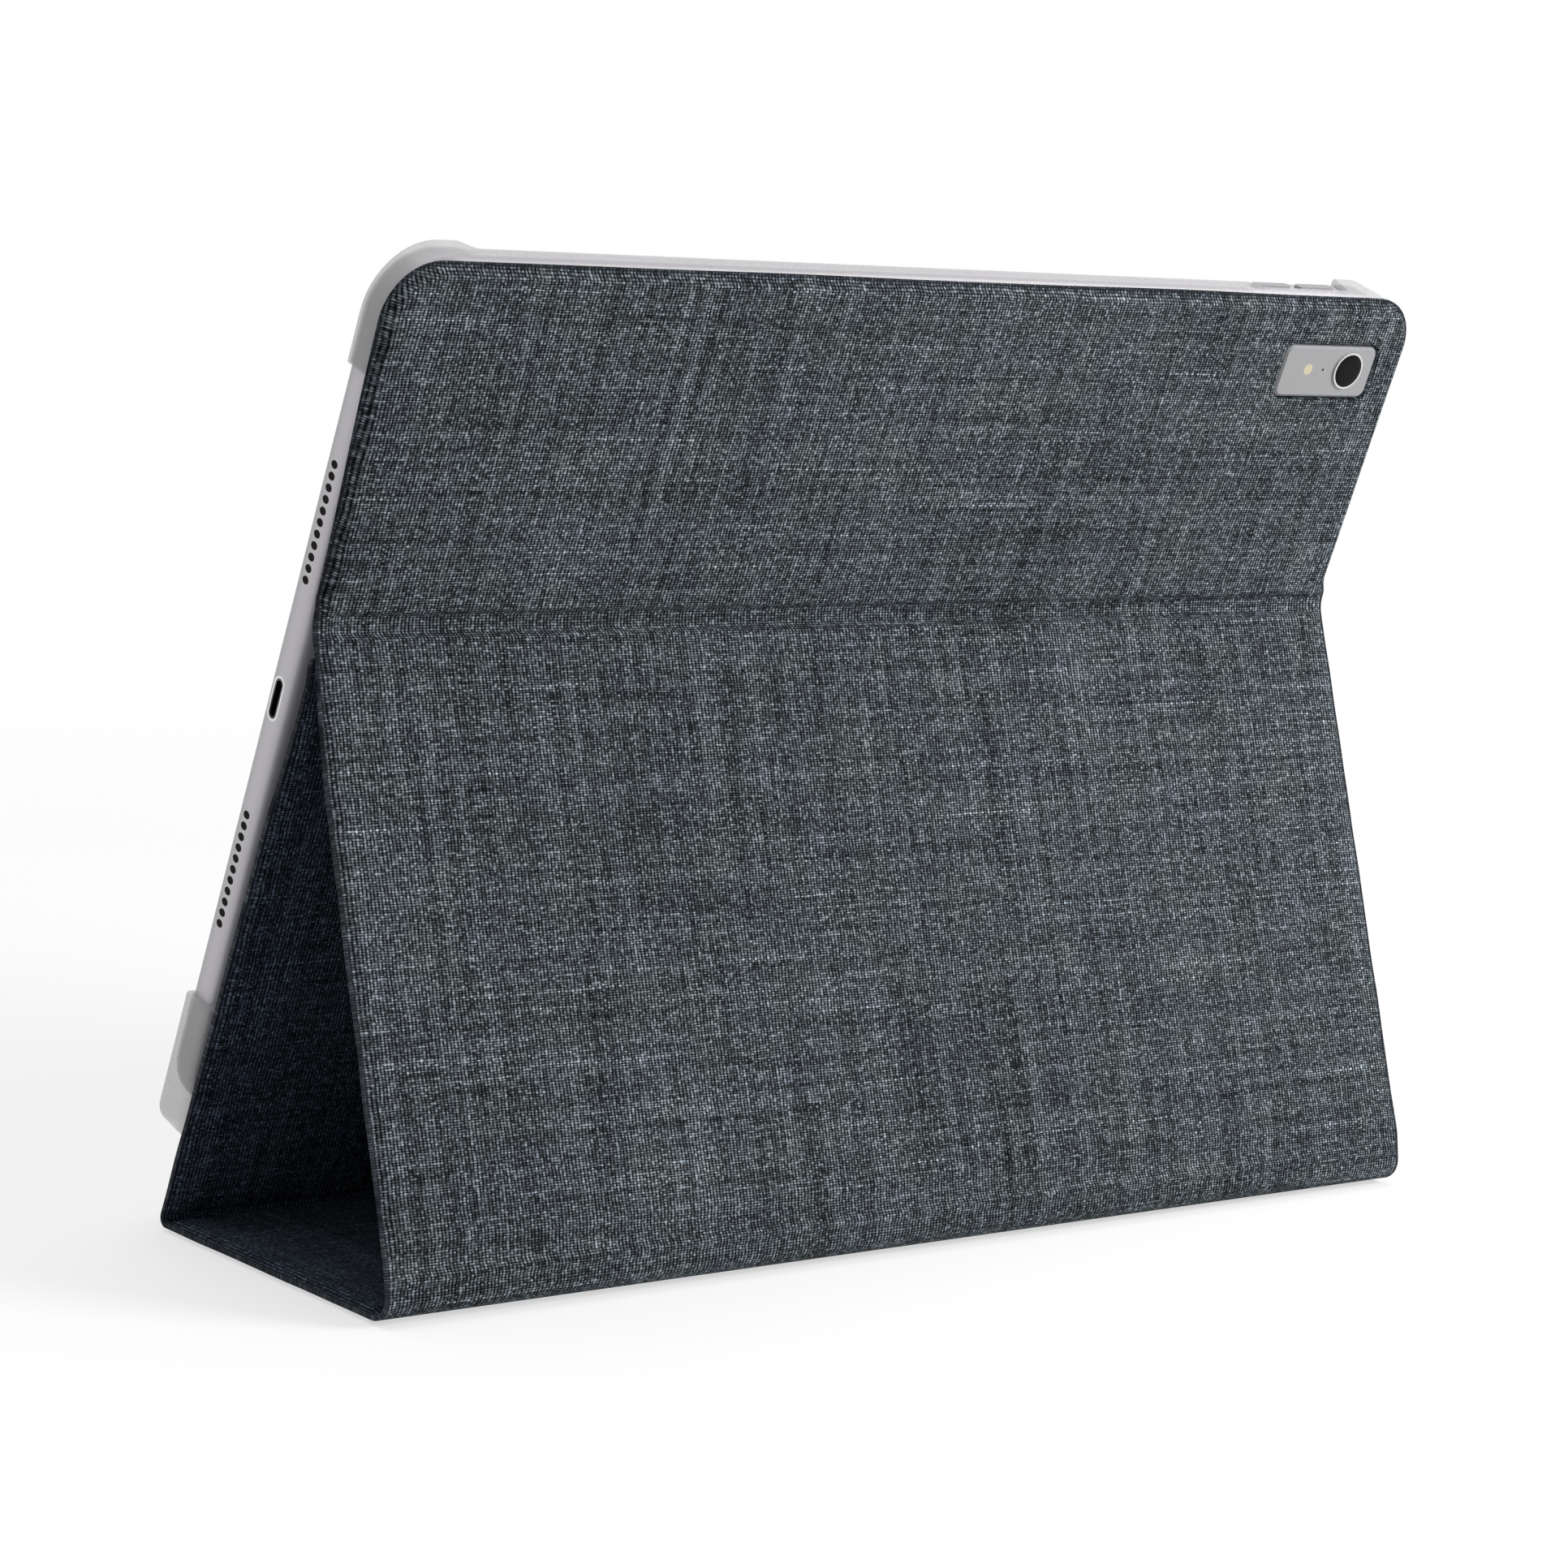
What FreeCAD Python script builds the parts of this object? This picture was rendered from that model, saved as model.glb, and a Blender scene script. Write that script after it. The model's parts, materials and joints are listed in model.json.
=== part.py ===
"""Fabric folio stand case for a tablet, folded into its stand, with the tablet in it.

The case is one strip of fabric-covered panels. Walking along its outside, the strip runs
from the free tip of the cover, down the cover, round the front fold, back along the base,
round the heel, up the spine and the flap, over the crease and up the upper back, which is
bonded to a clear clip-on shell. The shell holds the tablet.

Every panel has its own frame: X along the case, Y along the walk, Z out of the fabric side.
The middle of the panel's thickness is Z = 0. Millimetres and degrees throughout.
"""
import FreeCAD, Part
import Sketcher
import math
import os

DOC = FreeCAD.newDocument("folio_case")
AXIS_X = FreeCAD.Vector(1, 0, 0)

# Driving dimensions: name, value, what it is
SIZES = [
    ("case_past", 2.2, "every fabric panel, past the tablet at each end"),
    ("fabric_thick", 0.5, "outer fabric with its glue"),
    ("board_thick", 1.2, "stiffening board"),
    ("lining_thick", 0.5, "inner fabric with its glue"),
    ("hem", 7.0, "flat margin round a free edge, with no board in it"),
    ("bevel", 1.0, "fabric that turns down over the edge of a board"),
    ("bevel_drop", 0.45, "chamfer along that turned edge"),
    ("upper_rise", 0.5, "upper back's top edge, above the tablet's"),
    ("upper_hem", 3.0, "flat margin round the upper back"),
    ("upper_corner", 11.0, "radius of the upper back's two top corners"),
    ("flap_len", 111.5, "stand flap, from the spine fold to the crease"),
    ("spine_len", 10.0, "spine, from the heel fold to the spine fold"),
    ("base_len", 72.8, "base, from the heel fold to the front fold"),
    ("cover_corner", 8.0, "radius of the cover's two tip corners"),
    ("spine_slope", 79.0, "spine above the table"),
    ("flap_slope", 71.3, "flap above the table"),
    ("tip_under", 9.03, "cover's tip, below the crease"),
    ("tip_behind", 0.77, "cover's tip, behind the crease"),
    ("cover_free", 1.05, "angle between the tablet's back and the cover"),
    ("crease_gap", 2.4, "fabric from the crease's middle to the boards on either side"),
    ("spine_gap", 1.2, "the same at the spine fold"),
    ("heel_round", 4.0, "radius of the heel, at the middle of the fabric"),
    ("front_round", 1.3, "radius of the front fold, at the middle of the fabric"),
    ("magnet_wide", 12.0, "bar magnet along the case"),
    ("magnet_tall", 5.0, "bar magnet along its panel"),
    ("magnet_thick", 1.0, "bar magnet"),
    ("magnet_pitch", 70.0, "from one bar magnet to the next"),
    ("magnet_inset", 4.0, "from a board's edge to the magnets"),
    ("tablet_wide", 250.6, "tablet"),
    ("tablet_tall", 169.5, "tablet"),
    ("tablet_thick", 6.1, "tablet, from its back to its glass"),
    ("tablet_corner", 12.0, "radius of the tablet's corners"),
    ("tablet_drop", 17.15, "from the crease down to the tablet's middle"),
    ("tablet_back_round", 2.0, "rounding of the tablet's back edge"),
    ("tablet_chamfer", 0.5, "chamfer along the tablet's front edge"),
    ("tablet_wall", 1.0, "back wall of the tablet's housing"),
    ("tablet_rim", 2.2, "side wall of the tablet's housing"),
    ("glass_thick", 0.9, "front glass"),
    ("glass_ledge", 1.0, "rim of the housing round the glass"),
    ("glass_gap", 0.1, "round the glass"),
    ("shell_wall", 1.2, "clear shell"),
    ("shell_gap", 0.15, "between the tablet and the shell"),
    ("shell_round", 1.8, "rounding of the shell's back edge"),
    ("shell_side", 3.2, "shell's side wall, up the side of the tablet"),
    ("shell_foot", 2.25, "shell's bottom wall, thicker than the others"),
    ("foot_corner", 5.0, "radius of the shell's two bottom corners"),
    ("lip_rise", 0.6, "corner lips above the glass"),
    ("lip_hook", 0.8, "corner lips over the edge of the glass"),
    ("lip_leg", 23.35, "upper corner lips down the ends, from the shell's top"),
    ("lip_foot", 28.1, "lower corner lips up the ends, from the shell's bottom"),
    ("lip_arm", 18.0, "corner lips along the top and bottom, from the shell's corner"),
    ("button_cut_len", 26.0, "gap in the shell's top wall at the volume buttons"),
    ("button_cut_in", 29.9, "middle of that gap, from the tablet's end"),
    ("window_wide", 27.1, "camera window in the upper back"),
    ("window_tall", 11.8, "camera window"),
    ("window_corner", 2.4, "camera window"),
    ("window_in", 19.8, "middle of the window, from the tablet's end"),
    ("window_down", 15.1, "middle of the window, below the tablet's top"),
    ("window_margin", 0.6, "shell's own hole, past the fabric's window"),
    ("camera_in", 14.0, "lens, from the tablet's end"),
    ("camera_up", 0.5, "lens, microphone and flash, above the middle of the window"),
    ("camera_ring", 7.8, "outer diameter of the lens ring"),
    ("camera_glass", 6.5, "diameter of the lens glass"),
    ("plate_gap", 0.3, "round the camera plate, in the fabric's window"),
    ("plate_proud", 3.35, "camera plate above the tablet's back"),
    ("plate_bevel", 0.6, "chamfer along the camera plate's top edge"),
    ("camera_proud", 0.4, "lens ring above the camera plate"),
    ("camera_seat", 0.5, "lens ring down into the camera plate"),
    ("lens_sunk", 0.25, "lens glass below the top of its ring"),
    ("mic_in", 21.1, "microphone hole, from the tablet's end"),
    ("mic_bore", 0.6, "diameter of the microphone hole"),
    ("flash_in", 25.4, "flash, from the tablet's end"),
    ("flash_bore", 2.3, "diameter of the flash lens"),
    ("port_long", 8.2, "charging port's rim"),
    ("port_high", 2.6, "charging port's rim"),
    ("port_deep", 7.0, "charging port, into the tablet"),
    ("slot_long", 7.0, "charging port's slot"),
    ("slot_high", 1.7, "charging port's slot"),
    ("slot_deep", 6.0, "charging port's slot"),
    ("speaker_bore", 1.5, "diameter of one speaker hole"),
    ("speaker_pitch", 2.2, "from one speaker hole to the next"),
    ("speaker_count", 11, "speaker holes in one row"),
    ("speaker_in", 50.65, "middle of a row, from the tablet's top or bottom"),
    ("speaker_sides", 6, "flats round one speaker hole"),
    ("mesh_thick", 0.4, "speaker mesh"),
    ("mesh_edge", 0.6, "speaker mesh past its holes"),
    ("button_long", 10.4, "volume and power buttons"),
    ("button_high", 1.9, "volume and power buttons"),
    ("button_proud", 0.6, "buttons above the tablet's side"),
    ("button_gap", 0.1, "round each button"),
    ("button_flange", 0.6, "flange inside the tablet that keeps a button in"),
    ("volume_pitch", 12.4, "from one volume button to the other"),
    ("power_down", 30.75, "power button, below the tablet's top"),
    ("port_gap", 2.3, "between the charging port and the logic board"),
    ("logic_wide", 17.0, "logic board"),
    ("logic_gap", 1.5, "between the logic board and the battery"),
    ("logic_thick", 1.6, "logic board"),
    ("battery_gap", 2.0, "between the two battery cells"),
    ("battery_margin", 23.0, "above and below the battery cells"),
    ("battery_room", 0.8, "between the battery cells and the glass"),
]

# Places worked out from the sizes: name, formula, what it is
LAYOUT = [
    ("case_width", "sizes.tablet_wide + 2 * sizes.case_past", "width of every fabric panel"),
    ("tablet_top", "sizes.tablet_tall / 2 - sizes.tablet_drop", "tablet's top, above the crease"),
    ("upper_len", "tablet_top + sizes.upper_rise", "crease to the upper back's top edge"),
    ("window_at_x", "sizes.tablet_wide / 2 - sizes.window_in", "middle of the camera window"),
    ("window_at_y", "tablet_top - sizes.window_down", "middle of the camera window"),
    ("camera_at_x", "sizes.tablet_wide / 2 - sizes.camera_in", "lens"),
    ("camera_at_y", "window_at_y + sizes.camera_up", "lens, microphone hole and flash"),
    ("mic_at_x", "sizes.tablet_wide / 2 - sizes.mic_in", "microphone hole"),
    ("flash_at_x", "sizes.tablet_wide / 2 - sizes.flash_in", "flash"),
    ("button_cut_at", "sizes.tablet_wide / 2 - sizes.button_cut_in", "volume buttons"),
    ("power_at", "sizes.tablet_tall / 2 - sizes.power_down", "power button, above the middle"),
    ("speaker_at", "sizes.tablet_tall / 2 - sizes.speaker_in", "speaker row, from the middle"),
    ("battery_edge", "sizes.tablet_wide / 2 - sizes.port_deep - sizes.port_gap - sizes.logic_wide"
     " - sizes.logic_gap", "outer edge of the battery cells"),
    ("battery_wide", "battery_edge - sizes.battery_gap / 2", "one battery cell"),
    ("battery_tall", "sizes.tablet_tall - 2 * sizes.battery_margin", "one battery cell"),
    ("battery_thick", "sizes.tablet_thick - sizes.tablet_wall - sizes.glass_thick"
     " - sizes.battery_room", "one battery cell"),
    ("half_stack", "sizes.fabric_thick + sizes.board_thick / 2", "half of a panel's thickness"),
    ("half_hem", "(sizes.fabric_thick + sizes.lining_thick) / 2", "half of a hem's thickness"),
    ("spine_dy", "sizes.spine_len * cos(sizes.spine_slope)", "heel fold to spine fold"),
    ("spine_dz", "sizes.spine_len * sin(sizes.spine_slope)", "heel fold to spine fold"),
    ("flap_dy", "sizes.flap_len * cos(sizes.flap_slope)", "spine fold to crease"),
    ("flap_dz", "sizes.flap_len * sin(sizes.flap_slope)", "spine fold to crease"),
    ("cover_run", "sizes.base_len - spine_dy - flap_dy + sizes.tip_behind", "cover's tip to front fold"),
    ("cover_rise", "spine_dz + flap_dz - sizes.tip_under", "front fold up to the cover's tip"),
    ("cover_len", "sqrt(cover_run ^ 2 + cover_rise ^ 2)", "cover, from the front fold to its tip"),
    ("cover_slope", "atan2(cover_rise; cover_run) / (1 deg)", "cover above the base"),
    ("tablet_lean", "90 - cover_slope - sizes.cover_free", "tablet and upper back, from upright"),
    ("heel_gap", "sizes.heel_round * tan(90 - sizes.spine_slope / 2)", "heel fold to its boards"),
    ("front_gap", "sizes.front_round * tan(90 - cover_slope / 2)", "front fold to its boards"),
    ("spine_round", "sizes.spine_gap / tan((sizes.spine_slope - sizes.flap_slope) / 2)", "spine fold"),
    ("crease_bend", "90 + tablet_lean - sizes.flap_slope", "turn of the fabric at the crease"),
    ("crease_round", "sizes.crease_gap / tan(crease_bend / 2)", "radius of the crease"),
    ("tray_slope", "90 + tablet_lean", "direction of the upper back"),
    ("shell_back", "-half_stack", "outer face of the shell's back"),
    ("tablet_back", "shell_back - sizes.shell_wall - sizes.shell_gap", "tablet's back face"),
    ("tablet_front", "tablet_back - sizes.tablet_thick", "tablet's glass"),
    ("plate_top", "tablet_back + sizes.plate_proud", "outer face of the camera plate"),
    ("tablet_mid", "tablet_back - (sizes.tablet_back_round + sizes.tablet_thick"
     " - sizes.glass_thick) / 2", "middle of its flat side, between the rounding and the glass"),
    ("shell_wide", "sizes.tablet_wide + 2 * sizes.shell_gap + 2 * sizes.shell_wall", "shell"),
    ("shell_tall", "sizes.tablet_tall + 2 * sizes.shell_gap + 2 * sizes.shell_wall"
     " + sizes.shell_foot", "shell"),
    ("shell_mid", "-sizes.tablet_drop - sizes.shell_foot / 2", "shell's middle, from the crease"),
    ("shell_top", "shell_mid + shell_tall / 2", "shell's top, above the crease"),
    ("shell_bottom", "shell_mid - shell_tall / 2", "shell's bottom, from the crease"),
    ("ends_tall", "shell_tall - sizes.lip_leg - sizes.lip_foot", "opening at each end of the shell"),
    ("ends_mid", "shell_mid + (sizes.lip_foot - sizes.lip_leg) / 2", "middle of that opening"),
    ("shell_corner", "sizes.tablet_corner + sizes.shell_gap + sizes.shell_wall", "shell"),
    ("side_front", "tablet_back - sizes.shell_side", "front edge of the shell's side wall"),
    ("lip_front", "tablet_front - sizes.lip_rise", "front face of the corner lips"),
    ("lip_under", "tablet_front - sizes.glass_gap", "hook of a corner lip, over the glass"),
    ("shell_reach", "-shell_bottom * sin(tablet_lean) - lip_front * cos(tablet_lean)",
     "crease to the shell's front bottom edge"),
    ("heel_out", "half_stack * sin(sizes.spine_slope)"
     " - (heel_gap + sizes.bevel_drop) * cos(sizes.spine_slope)", "heel fold to its back"),
    ("heel_y", "-(spine_dy + flap_dy + shell_reach - heel_out) / 2", "heel fold"),
    ("heel_z", "half_stack", "heel fold"),
    ("spine_y", "heel_y + spine_dy", "spine fold"),
    ("spine_z", "heel_z + spine_dz", "spine fold"),
    ("crease_y", "spine_y + flap_dy", "crease"),
    ("crease_z", "spine_z + flap_dz", "crease"),
    ("front_y", "heel_y + sizes.base_len", "front fold"),
    ("tip_y", "front_y - cover_len * cos(cover_slope)", "cover's tip"),
    ("tip_z", "heel_z + cover_len * sin(cover_slope)", "cover's tip"),
]


def write_sheet(name, rows, prefix):
    """Spreadsheet with one aliased cell a row: name, value and meaning."""
    sheet = DOC.addObject("Spreadsheet::Sheet", name)
    for row, (alias, content, meaning) in enumerate(rows, start=1):
        sheet.set(f"A{row}", alias)
        sheet.set(f"B{row}", prefix + str(content))
        sheet.set(f"C{row}", meaning)
        sheet.setAlias(f"B{row}", alias)
    DOC.recompute()
    return sheet


SHEET = write_sheet("sizes", SIZES, "")
PLACES = write_sheet("layout", LAYOUT, "=")


def number(formula):
    """Present value of a formula on the two sheets."""
    return float(SHEET.evalExpression(str(formula)))


def new_body(label, frame):
    """Empty body, seated in one of the panel frames."""
    body = DOC.addObject("PartDesign::Body", label)
    body.Label = label
    body.AllowCompound = True
    across, up, turn = frame
    body.Placement = FreeCAD.Placement(FreeCAD.Vector(), FreeCAD.Rotation(AXIS_X, 30))
    body.setExpression("Placement.Base.y", across)
    body.setExpression("Placement.Base.z", up)
    body.setExpression("Placement.Rotation.Angle", turn)
    return body


def new_sketch(body, plane, at):
    """Sketch on one of the body's own planes, moved to the place that its formulas give."""
    sketch = body.newObject("Sketcher::SketchObject", body.Name + "_sketch")
    support = [f for f in body.Origin.OriginFeatures if f.Role == plane][0]
    sketch.AttachmentSupport = [(support, "")]
    sketch.MapMode = "FlatFace"
    for axis, formula in zip("xyz", at):
        if formula is not None:
            sketch.setExpression(f"AttachmentOffset.Base.{axis}", formula)
    return sketch


def bind(sketch, kind, geometry, formula):
    """Dimension of the sketch, tied to its formula."""
    index = sketch.addConstraint(Sketcher.Constraint(kind, *geometry, number(formula)))
    sketch.setExpression(f"Constraints[{index}]", formula)


def draw_outline(sketch, wide, tall, radius):
    """Rectangle with round corners, centred on the sketch's origin."""
    half_x = number(wide) / 2
    half_y = number(tall) / 2
    r = number(radius)
    in_x = half_x - r
    in_y = half_y - r
    point = FreeCAD.Vector
    lines = [
        (point(-in_x, -half_y), point(in_x, -half_y)),
        (point(half_x, -in_y), point(half_x, in_y)),
        (point(in_x, half_y), point(-in_x, half_y)),
        (point(-half_x, in_y), point(-half_x, -in_y)),
    ]
    for start, end in lines:
        sketch.addGeometry(Part.LineSegment(start, end), False)
    centres = [point(in_x, -in_y), point(in_x, in_y), point(-in_x, in_y), point(-in_x, -in_y)]
    for turn, centre in enumerate(centres):
        circle = Part.Circle(centre, point(0, 0, 1), r)
        start = (turn - 1) * math.pi / 2
        sketch.addGeometry(Part.ArcOfCircle(circle, start, start + math.pi / 2), False)
    for side in range(4):
        corner = 4 + side
        sketch.addConstraint(Sketcher.Constraint("Tangent", side, 2, corner, 1))
        sketch.addConstraint(Sketcher.Constraint("Tangent", corner, 2, (side + 1) % 4, 1))
        sketch.addConstraint(Sketcher.Constraint("Vertical" if side % 2 else "Horizontal", side))
    for corner in (5, 6, 7):
        sketch.addConstraint(Sketcher.Constraint("Equal", 4, corner))
    sketch.addConstraint(Sketcher.Constraint("Symmetric", 4, 3, 6, 3, -1, 1))
    bind(sketch, "Radius", (4,), radius)
    bind(sketch, "DistanceX", (3, 1, 1, 1), wide)
    bind(sketch, "DistanceY", (0, 1, 2, 1), tall)


def draw_rectangle(sketch, wide, tall):
    """Rectangle with sharp corners, centred on the sketch's origin."""
    half_x = number(wide) / 2
    half_y = number(tall) / 2
    corners = [(-half_x, -half_y), (half_x, -half_y), (half_x, half_y), (-half_x, half_y)]
    points = [FreeCAD.Vector(x, y) for x, y in corners]
    for side in range(4):
        sketch.addGeometry(Part.LineSegment(points[side], points[(side + 1) % 4]), False)
    for side in range(4):
        sketch.addConstraint(Sketcher.Constraint("Coincident", side, 2, (side + 1) % 4, 1))
        sketch.addConstraint(Sketcher.Constraint("Vertical" if side % 2 else "Horizontal", side))
    sketch.addConstraint(Sketcher.Constraint("Symmetric", 0, 1, 2, 1, -1, 1))
    bind(sketch, "DistanceX", (0, 1, 0, 2), wide)
    bind(sketch, "DistanceY", (1, 1, 1, 2), tall)


def draw_slot(sketch, long, high):
    """Slot with round ends, centred on the sketch's origin, its length along the sketch's X."""
    r = number(high) / 2
    reach = number(long) / 2 - r
    point = FreeCAD.Vector
    sketch.addGeometry(Part.LineSegment(point(-reach, -r), point(reach, -r)), False)
    right = Part.Circle(point(reach, 0), point(0, 0, 1), r)
    sketch.addGeometry(Part.ArcOfCircle(right, -math.pi / 2, math.pi / 2), False)
    sketch.addGeometry(Part.LineSegment(point(reach, r), point(-reach, r)), False)
    left = Part.Circle(point(-reach, 0), point(0, 0, 1), r)
    sketch.addGeometry(Part.ArcOfCircle(left, math.pi / 2, 3 * math.pi / 2), False)
    for side in range(4):
        sketch.addConstraint(Sketcher.Constraint("Tangent", side, 2, (side + 1) % 4, 1))
    sketch.addConstraint(Sketcher.Constraint("Horizontal", 0))
    sketch.addConstraint(Sketcher.Constraint("Symmetric", 1, 3, 3, 3, -1, 1))
    bind(sketch, "Radius", (1,), f"({high}) / 2")
    bind(sketch, "DistanceX", (0, 1, 0, 2), f"({long}) - ({high})")


def draw_circle(sketch, diameter):
    """Circle on the sketch's origin."""
    sketch.addGeometry(Part.Circle(FreeCAD.Vector(), FreeCAD.Vector(0, 0, 1), number(diameter) / 2))
    sketch.addConstraint(Sketcher.Constraint("Coincident", 0, 3, -1, 1))
    bind(sketch, "Diameter", (0,), diameter)


def draw_polygon(sketch, sides, across):
    """Regular polygon round the sketch's origin, with its corners on a circle."""
    count = int(number(sides))
    r = number(across) / 2
    turns = [2 * math.pi * i / count for i in range(count)]
    points = [FreeCAD.Vector(r * math.cos(a), r * math.sin(a)) for a in turns]
    for i in range(count):
        sketch.addGeometry(Part.LineSegment(points[i], points[(i + 1) % count]), False)
    sketch.addGeometry(Part.Circle(FreeCAD.Vector(), FreeCAD.Vector(0, 0, 1), r), True)
    sketch.addConstraint(Sketcher.Constraint("Coincident", count, 3, -1, 1))
    for i in range(count):
        sketch.addConstraint(Sketcher.Constraint("Coincident", i, 2, (i + 1) % count, 1))
        sketch.addConstraint(Sketcher.Constraint("PointOnObject", i, 1, count))
    for i in range(1, count):
        sketch.addConstraint(Sketcher.Constraint("Equal", 0, i))
    sketch.addConstraint(Sketcher.Constraint("PointOnObject", 0, 1, -1))
    bind(sketch, "Diameter", (count,), across)


def grow(body, sketch, length, backwards=False):
    """Pad along the sketch's normal, or against it."""
    pad = body.newObject("PartDesign::Pad", body.Name + "_pad")
    pad.Profile = sketch
    pad.Reversed = backwards
    pad.setExpression("Length", length)
    DOC.recompute()
    return pad


def dig(body, sketch, length, forwards=True):
    """Pocket along the sketch's normal, or against it. It has to take material away."""
    before = body.Shape.Volume
    pocket = body.newObject("PartDesign::Pocket", body.Name + "_pocket")
    pocket.Profile = sketch
    pocket.Reversed = forwards
    pocket.setExpression("Length", length)
    DOC.recompute()
    if not body.Shape.Volume < before:
        raise RuntimeError(body.Label + ": a pocket cut nothing")
    return pocket


def dress(body, kind, size_name, formula, keep):
    """Fillet or Chamfer on the edges of the body's tip that keep() picks."""
    tip = body.Tip
    names = [f"Edge{i}" for i, edge in enumerate(tip.Shape.Edges, start=1) if keep(edge)]
    feature = body.newObject("PartDesign::" + kind, body.Name + "_" + kind.lower())
    feature.Base = (tip, names)
    feature.setExpression(size_name, formula)
    DOC.recompute()
    return feature


def level(edge, height):
    """Whether an edge, in its own body's frame, lies flat at this Z."""
    box = edge.BoundBox
    return abs(box.ZMin - height) < 1e-6 and abs(box.ZMax - height) < 1e-6


def upright(edge):
    """Whether an edge runs straight along Z."""
    box = edge.BoundBox
    return max(box.XLength, box.YLength) < 1e-6 < box.ZLength


def round_top(body, height, radius):
    """Round the corners whose edges stand along Z at this Y."""
    far = number(height)
    dress(body, "Fillet", "Radius", radius,
          lambda e: upright(e) and abs(e.BoundBox.YMin - far) < 1e-6)


# Frames: Y and Z of the frame's origin and its turn about X
TRAY = ("layout.crease_y", "layout.crease_z", "layout.tray_slope")
FLAP = ("layout.spine_y", "layout.spine_z", "sizes.flap_slope")
SPINE = ("layout.heel_y", "layout.heel_z", "sizes.spine_slope")
BASE = ("layout.front_y", "layout.heel_z", "180")
COVER = ("layout.tip_y", "layout.tip_z", "360 - layout.cover_slope")


# Fabric-covered panels
def panel_span(start, end):
    """Length and middle of a stretch of a panel, along Y."""
    return f"({end}) - ({start})", f"(({end}) + ({start})) / 2"


def cover_sheet(label, frame, start, end, hem, side, corner):
    """Fabric on one side of a panel: a flat hem, and a raised bed that is hollow for the board.

    side is +1 for the outer fabric and -1 for the lining. hem is the margin at the panel's start,
    0 where that end is a fold, and corner rounds the start's two corners.
    """
    body = new_body(label, frame)
    thick = "sizes.fabric_thick" if side > 0 else "sizes.lining_thick"
    outward = side < 0
    span, middle = panel_span(start, end)
    flat = new_sketch(body, "XY_Plane", (None, middle, None))
    draw_rectangle(flat, "layout.case_width", span)
    grow(body, flat, thick, outward)
    if corner:
        round_top(body, start, corner)
    bed_span, bed_middle = panel_span(f"{start} + {hem}", end)
    bed = new_sketch(body, "XY_Plane", (None, bed_middle, None))
    draw_rectangle(bed, "layout.case_width - 2 * sizes.hem", bed_span)
    bed_height = f"sizes.board_thick / 2 + {thick}"
    grow(body, bed, bed_height, outward)
    top = side * number(bed_height)
    dress(body, "Chamfer", "Size", "sizes.bevel_drop", lambda e: level(e, top))
    hollow = new_sketch(body, "XY_Plane", (None, bed_middle, None))
    draw_rectangle(hollow, "layout.case_width - 2 * sizes.hem - 2 * sizes.bevel",
                   f"{bed_span} - 2 * sizes.bevel")
    dig(body, hollow, "sizes.board_thick / 2", side > 0)
    return body


def stiff_board(label, frame, start, end, hem):
    """Board inside a panel, between the fabric and the lining."""
    body = new_body(label, frame)
    span, middle = panel_span(f"{start} + {hem} + sizes.bevel", f"{end} - sizes.bevel")
    sketch = new_sketch(body, "XY_Plane", (None, middle, "-sizes.board_thick / 2"))
    draw_rectangle(sketch, "layout.case_width - 2 * sizes.hem - 2 * sizes.bevel", span)
    grow(body, sketch, "sizes.board_thick")
    return body


def bar_magnets(label, board, frame, along):
    """Row of three bar magnets, sunk in the outer face of a board."""
    top = "sizes.board_thick / 2 - sizes.magnet_thick"
    magnets = new_body(label, frame)
    for place in (-1, 0, 1):
        at = (f"{place} * sizes.magnet_pitch", along, top)
        seat = new_sketch(board, "XY_Plane", at)
        draw_rectangle(seat, "sizes.magnet_wide", "sizes.magnet_tall")
        dig(board, seat, "sizes.magnet_thick")
        block = new_sketch(magnets, "XY_Plane", at)
        draw_rectangle(block, "sizes.magnet_wide", "sizes.magnet_tall")
        grow(magnets, block, "sizes.magnet_thick")
    return magnets


def fold_strip(label, across, up, turn, radius, bend):
    """Fabric and lining pressed together round a fold, as a sheet turned about the fold's axis."""
    body = new_body(label, (across, up, turn))
    sketch = new_sketch(body, "XY_Plane", (None, radius, None))
    draw_rectangle(sketch, "layout.case_width", "2 * layout.half_hem")
    fold = body.newObject("PartDesign::Revolution", label + "_turn")
    fold.Profile = sketch
    fold.ReferenceAxis = ([f for f in body.Origin.OriginFeatures if f.Role == "X_Axis"][0], [""])
    fold.setExpression("Angle", bend)
    DOC.recompute()
    return body


flap_start = "sizes.spine_gap"
flap_end = "sizes.flap_len - sizes.crease_gap"
cover_sheet("flap_fabric", FLAP, flap_start, flap_end, "0", 1, None)
cover_sheet("flap_lining", FLAP, flap_start, flap_end, "0", -1, None)
flap_board = stiff_board("flap_board", FLAP, flap_start, flap_end, "0")
bar_magnets("flap_magnets", flap_board, FLAP,
            f"{flap_end} - sizes.bevel - sizes.magnet_inset - sizes.magnet_tall / 2")

spine_start = "layout.heel_gap"
spine_end = "sizes.spine_len - sizes.spine_gap"
cover_sheet("spine_fabric", SPINE, spine_start, spine_end, "0", 1, None)
cover_sheet("spine_lining", SPINE, spine_start, spine_end, "0", -1, None)
stiff_board("spine_board", SPINE, spine_start, spine_end, "0")

base_start = "layout.front_gap"
base_end = "sizes.base_len - layout.heel_gap"
cover_sheet("base_fabric", BASE, base_start, base_end, "0", 1, None)
cover_sheet("base_lining", BASE, base_start, base_end, "0", -1, None)
stiff_board("base_board", BASE, base_start, base_end, "0")

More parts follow.
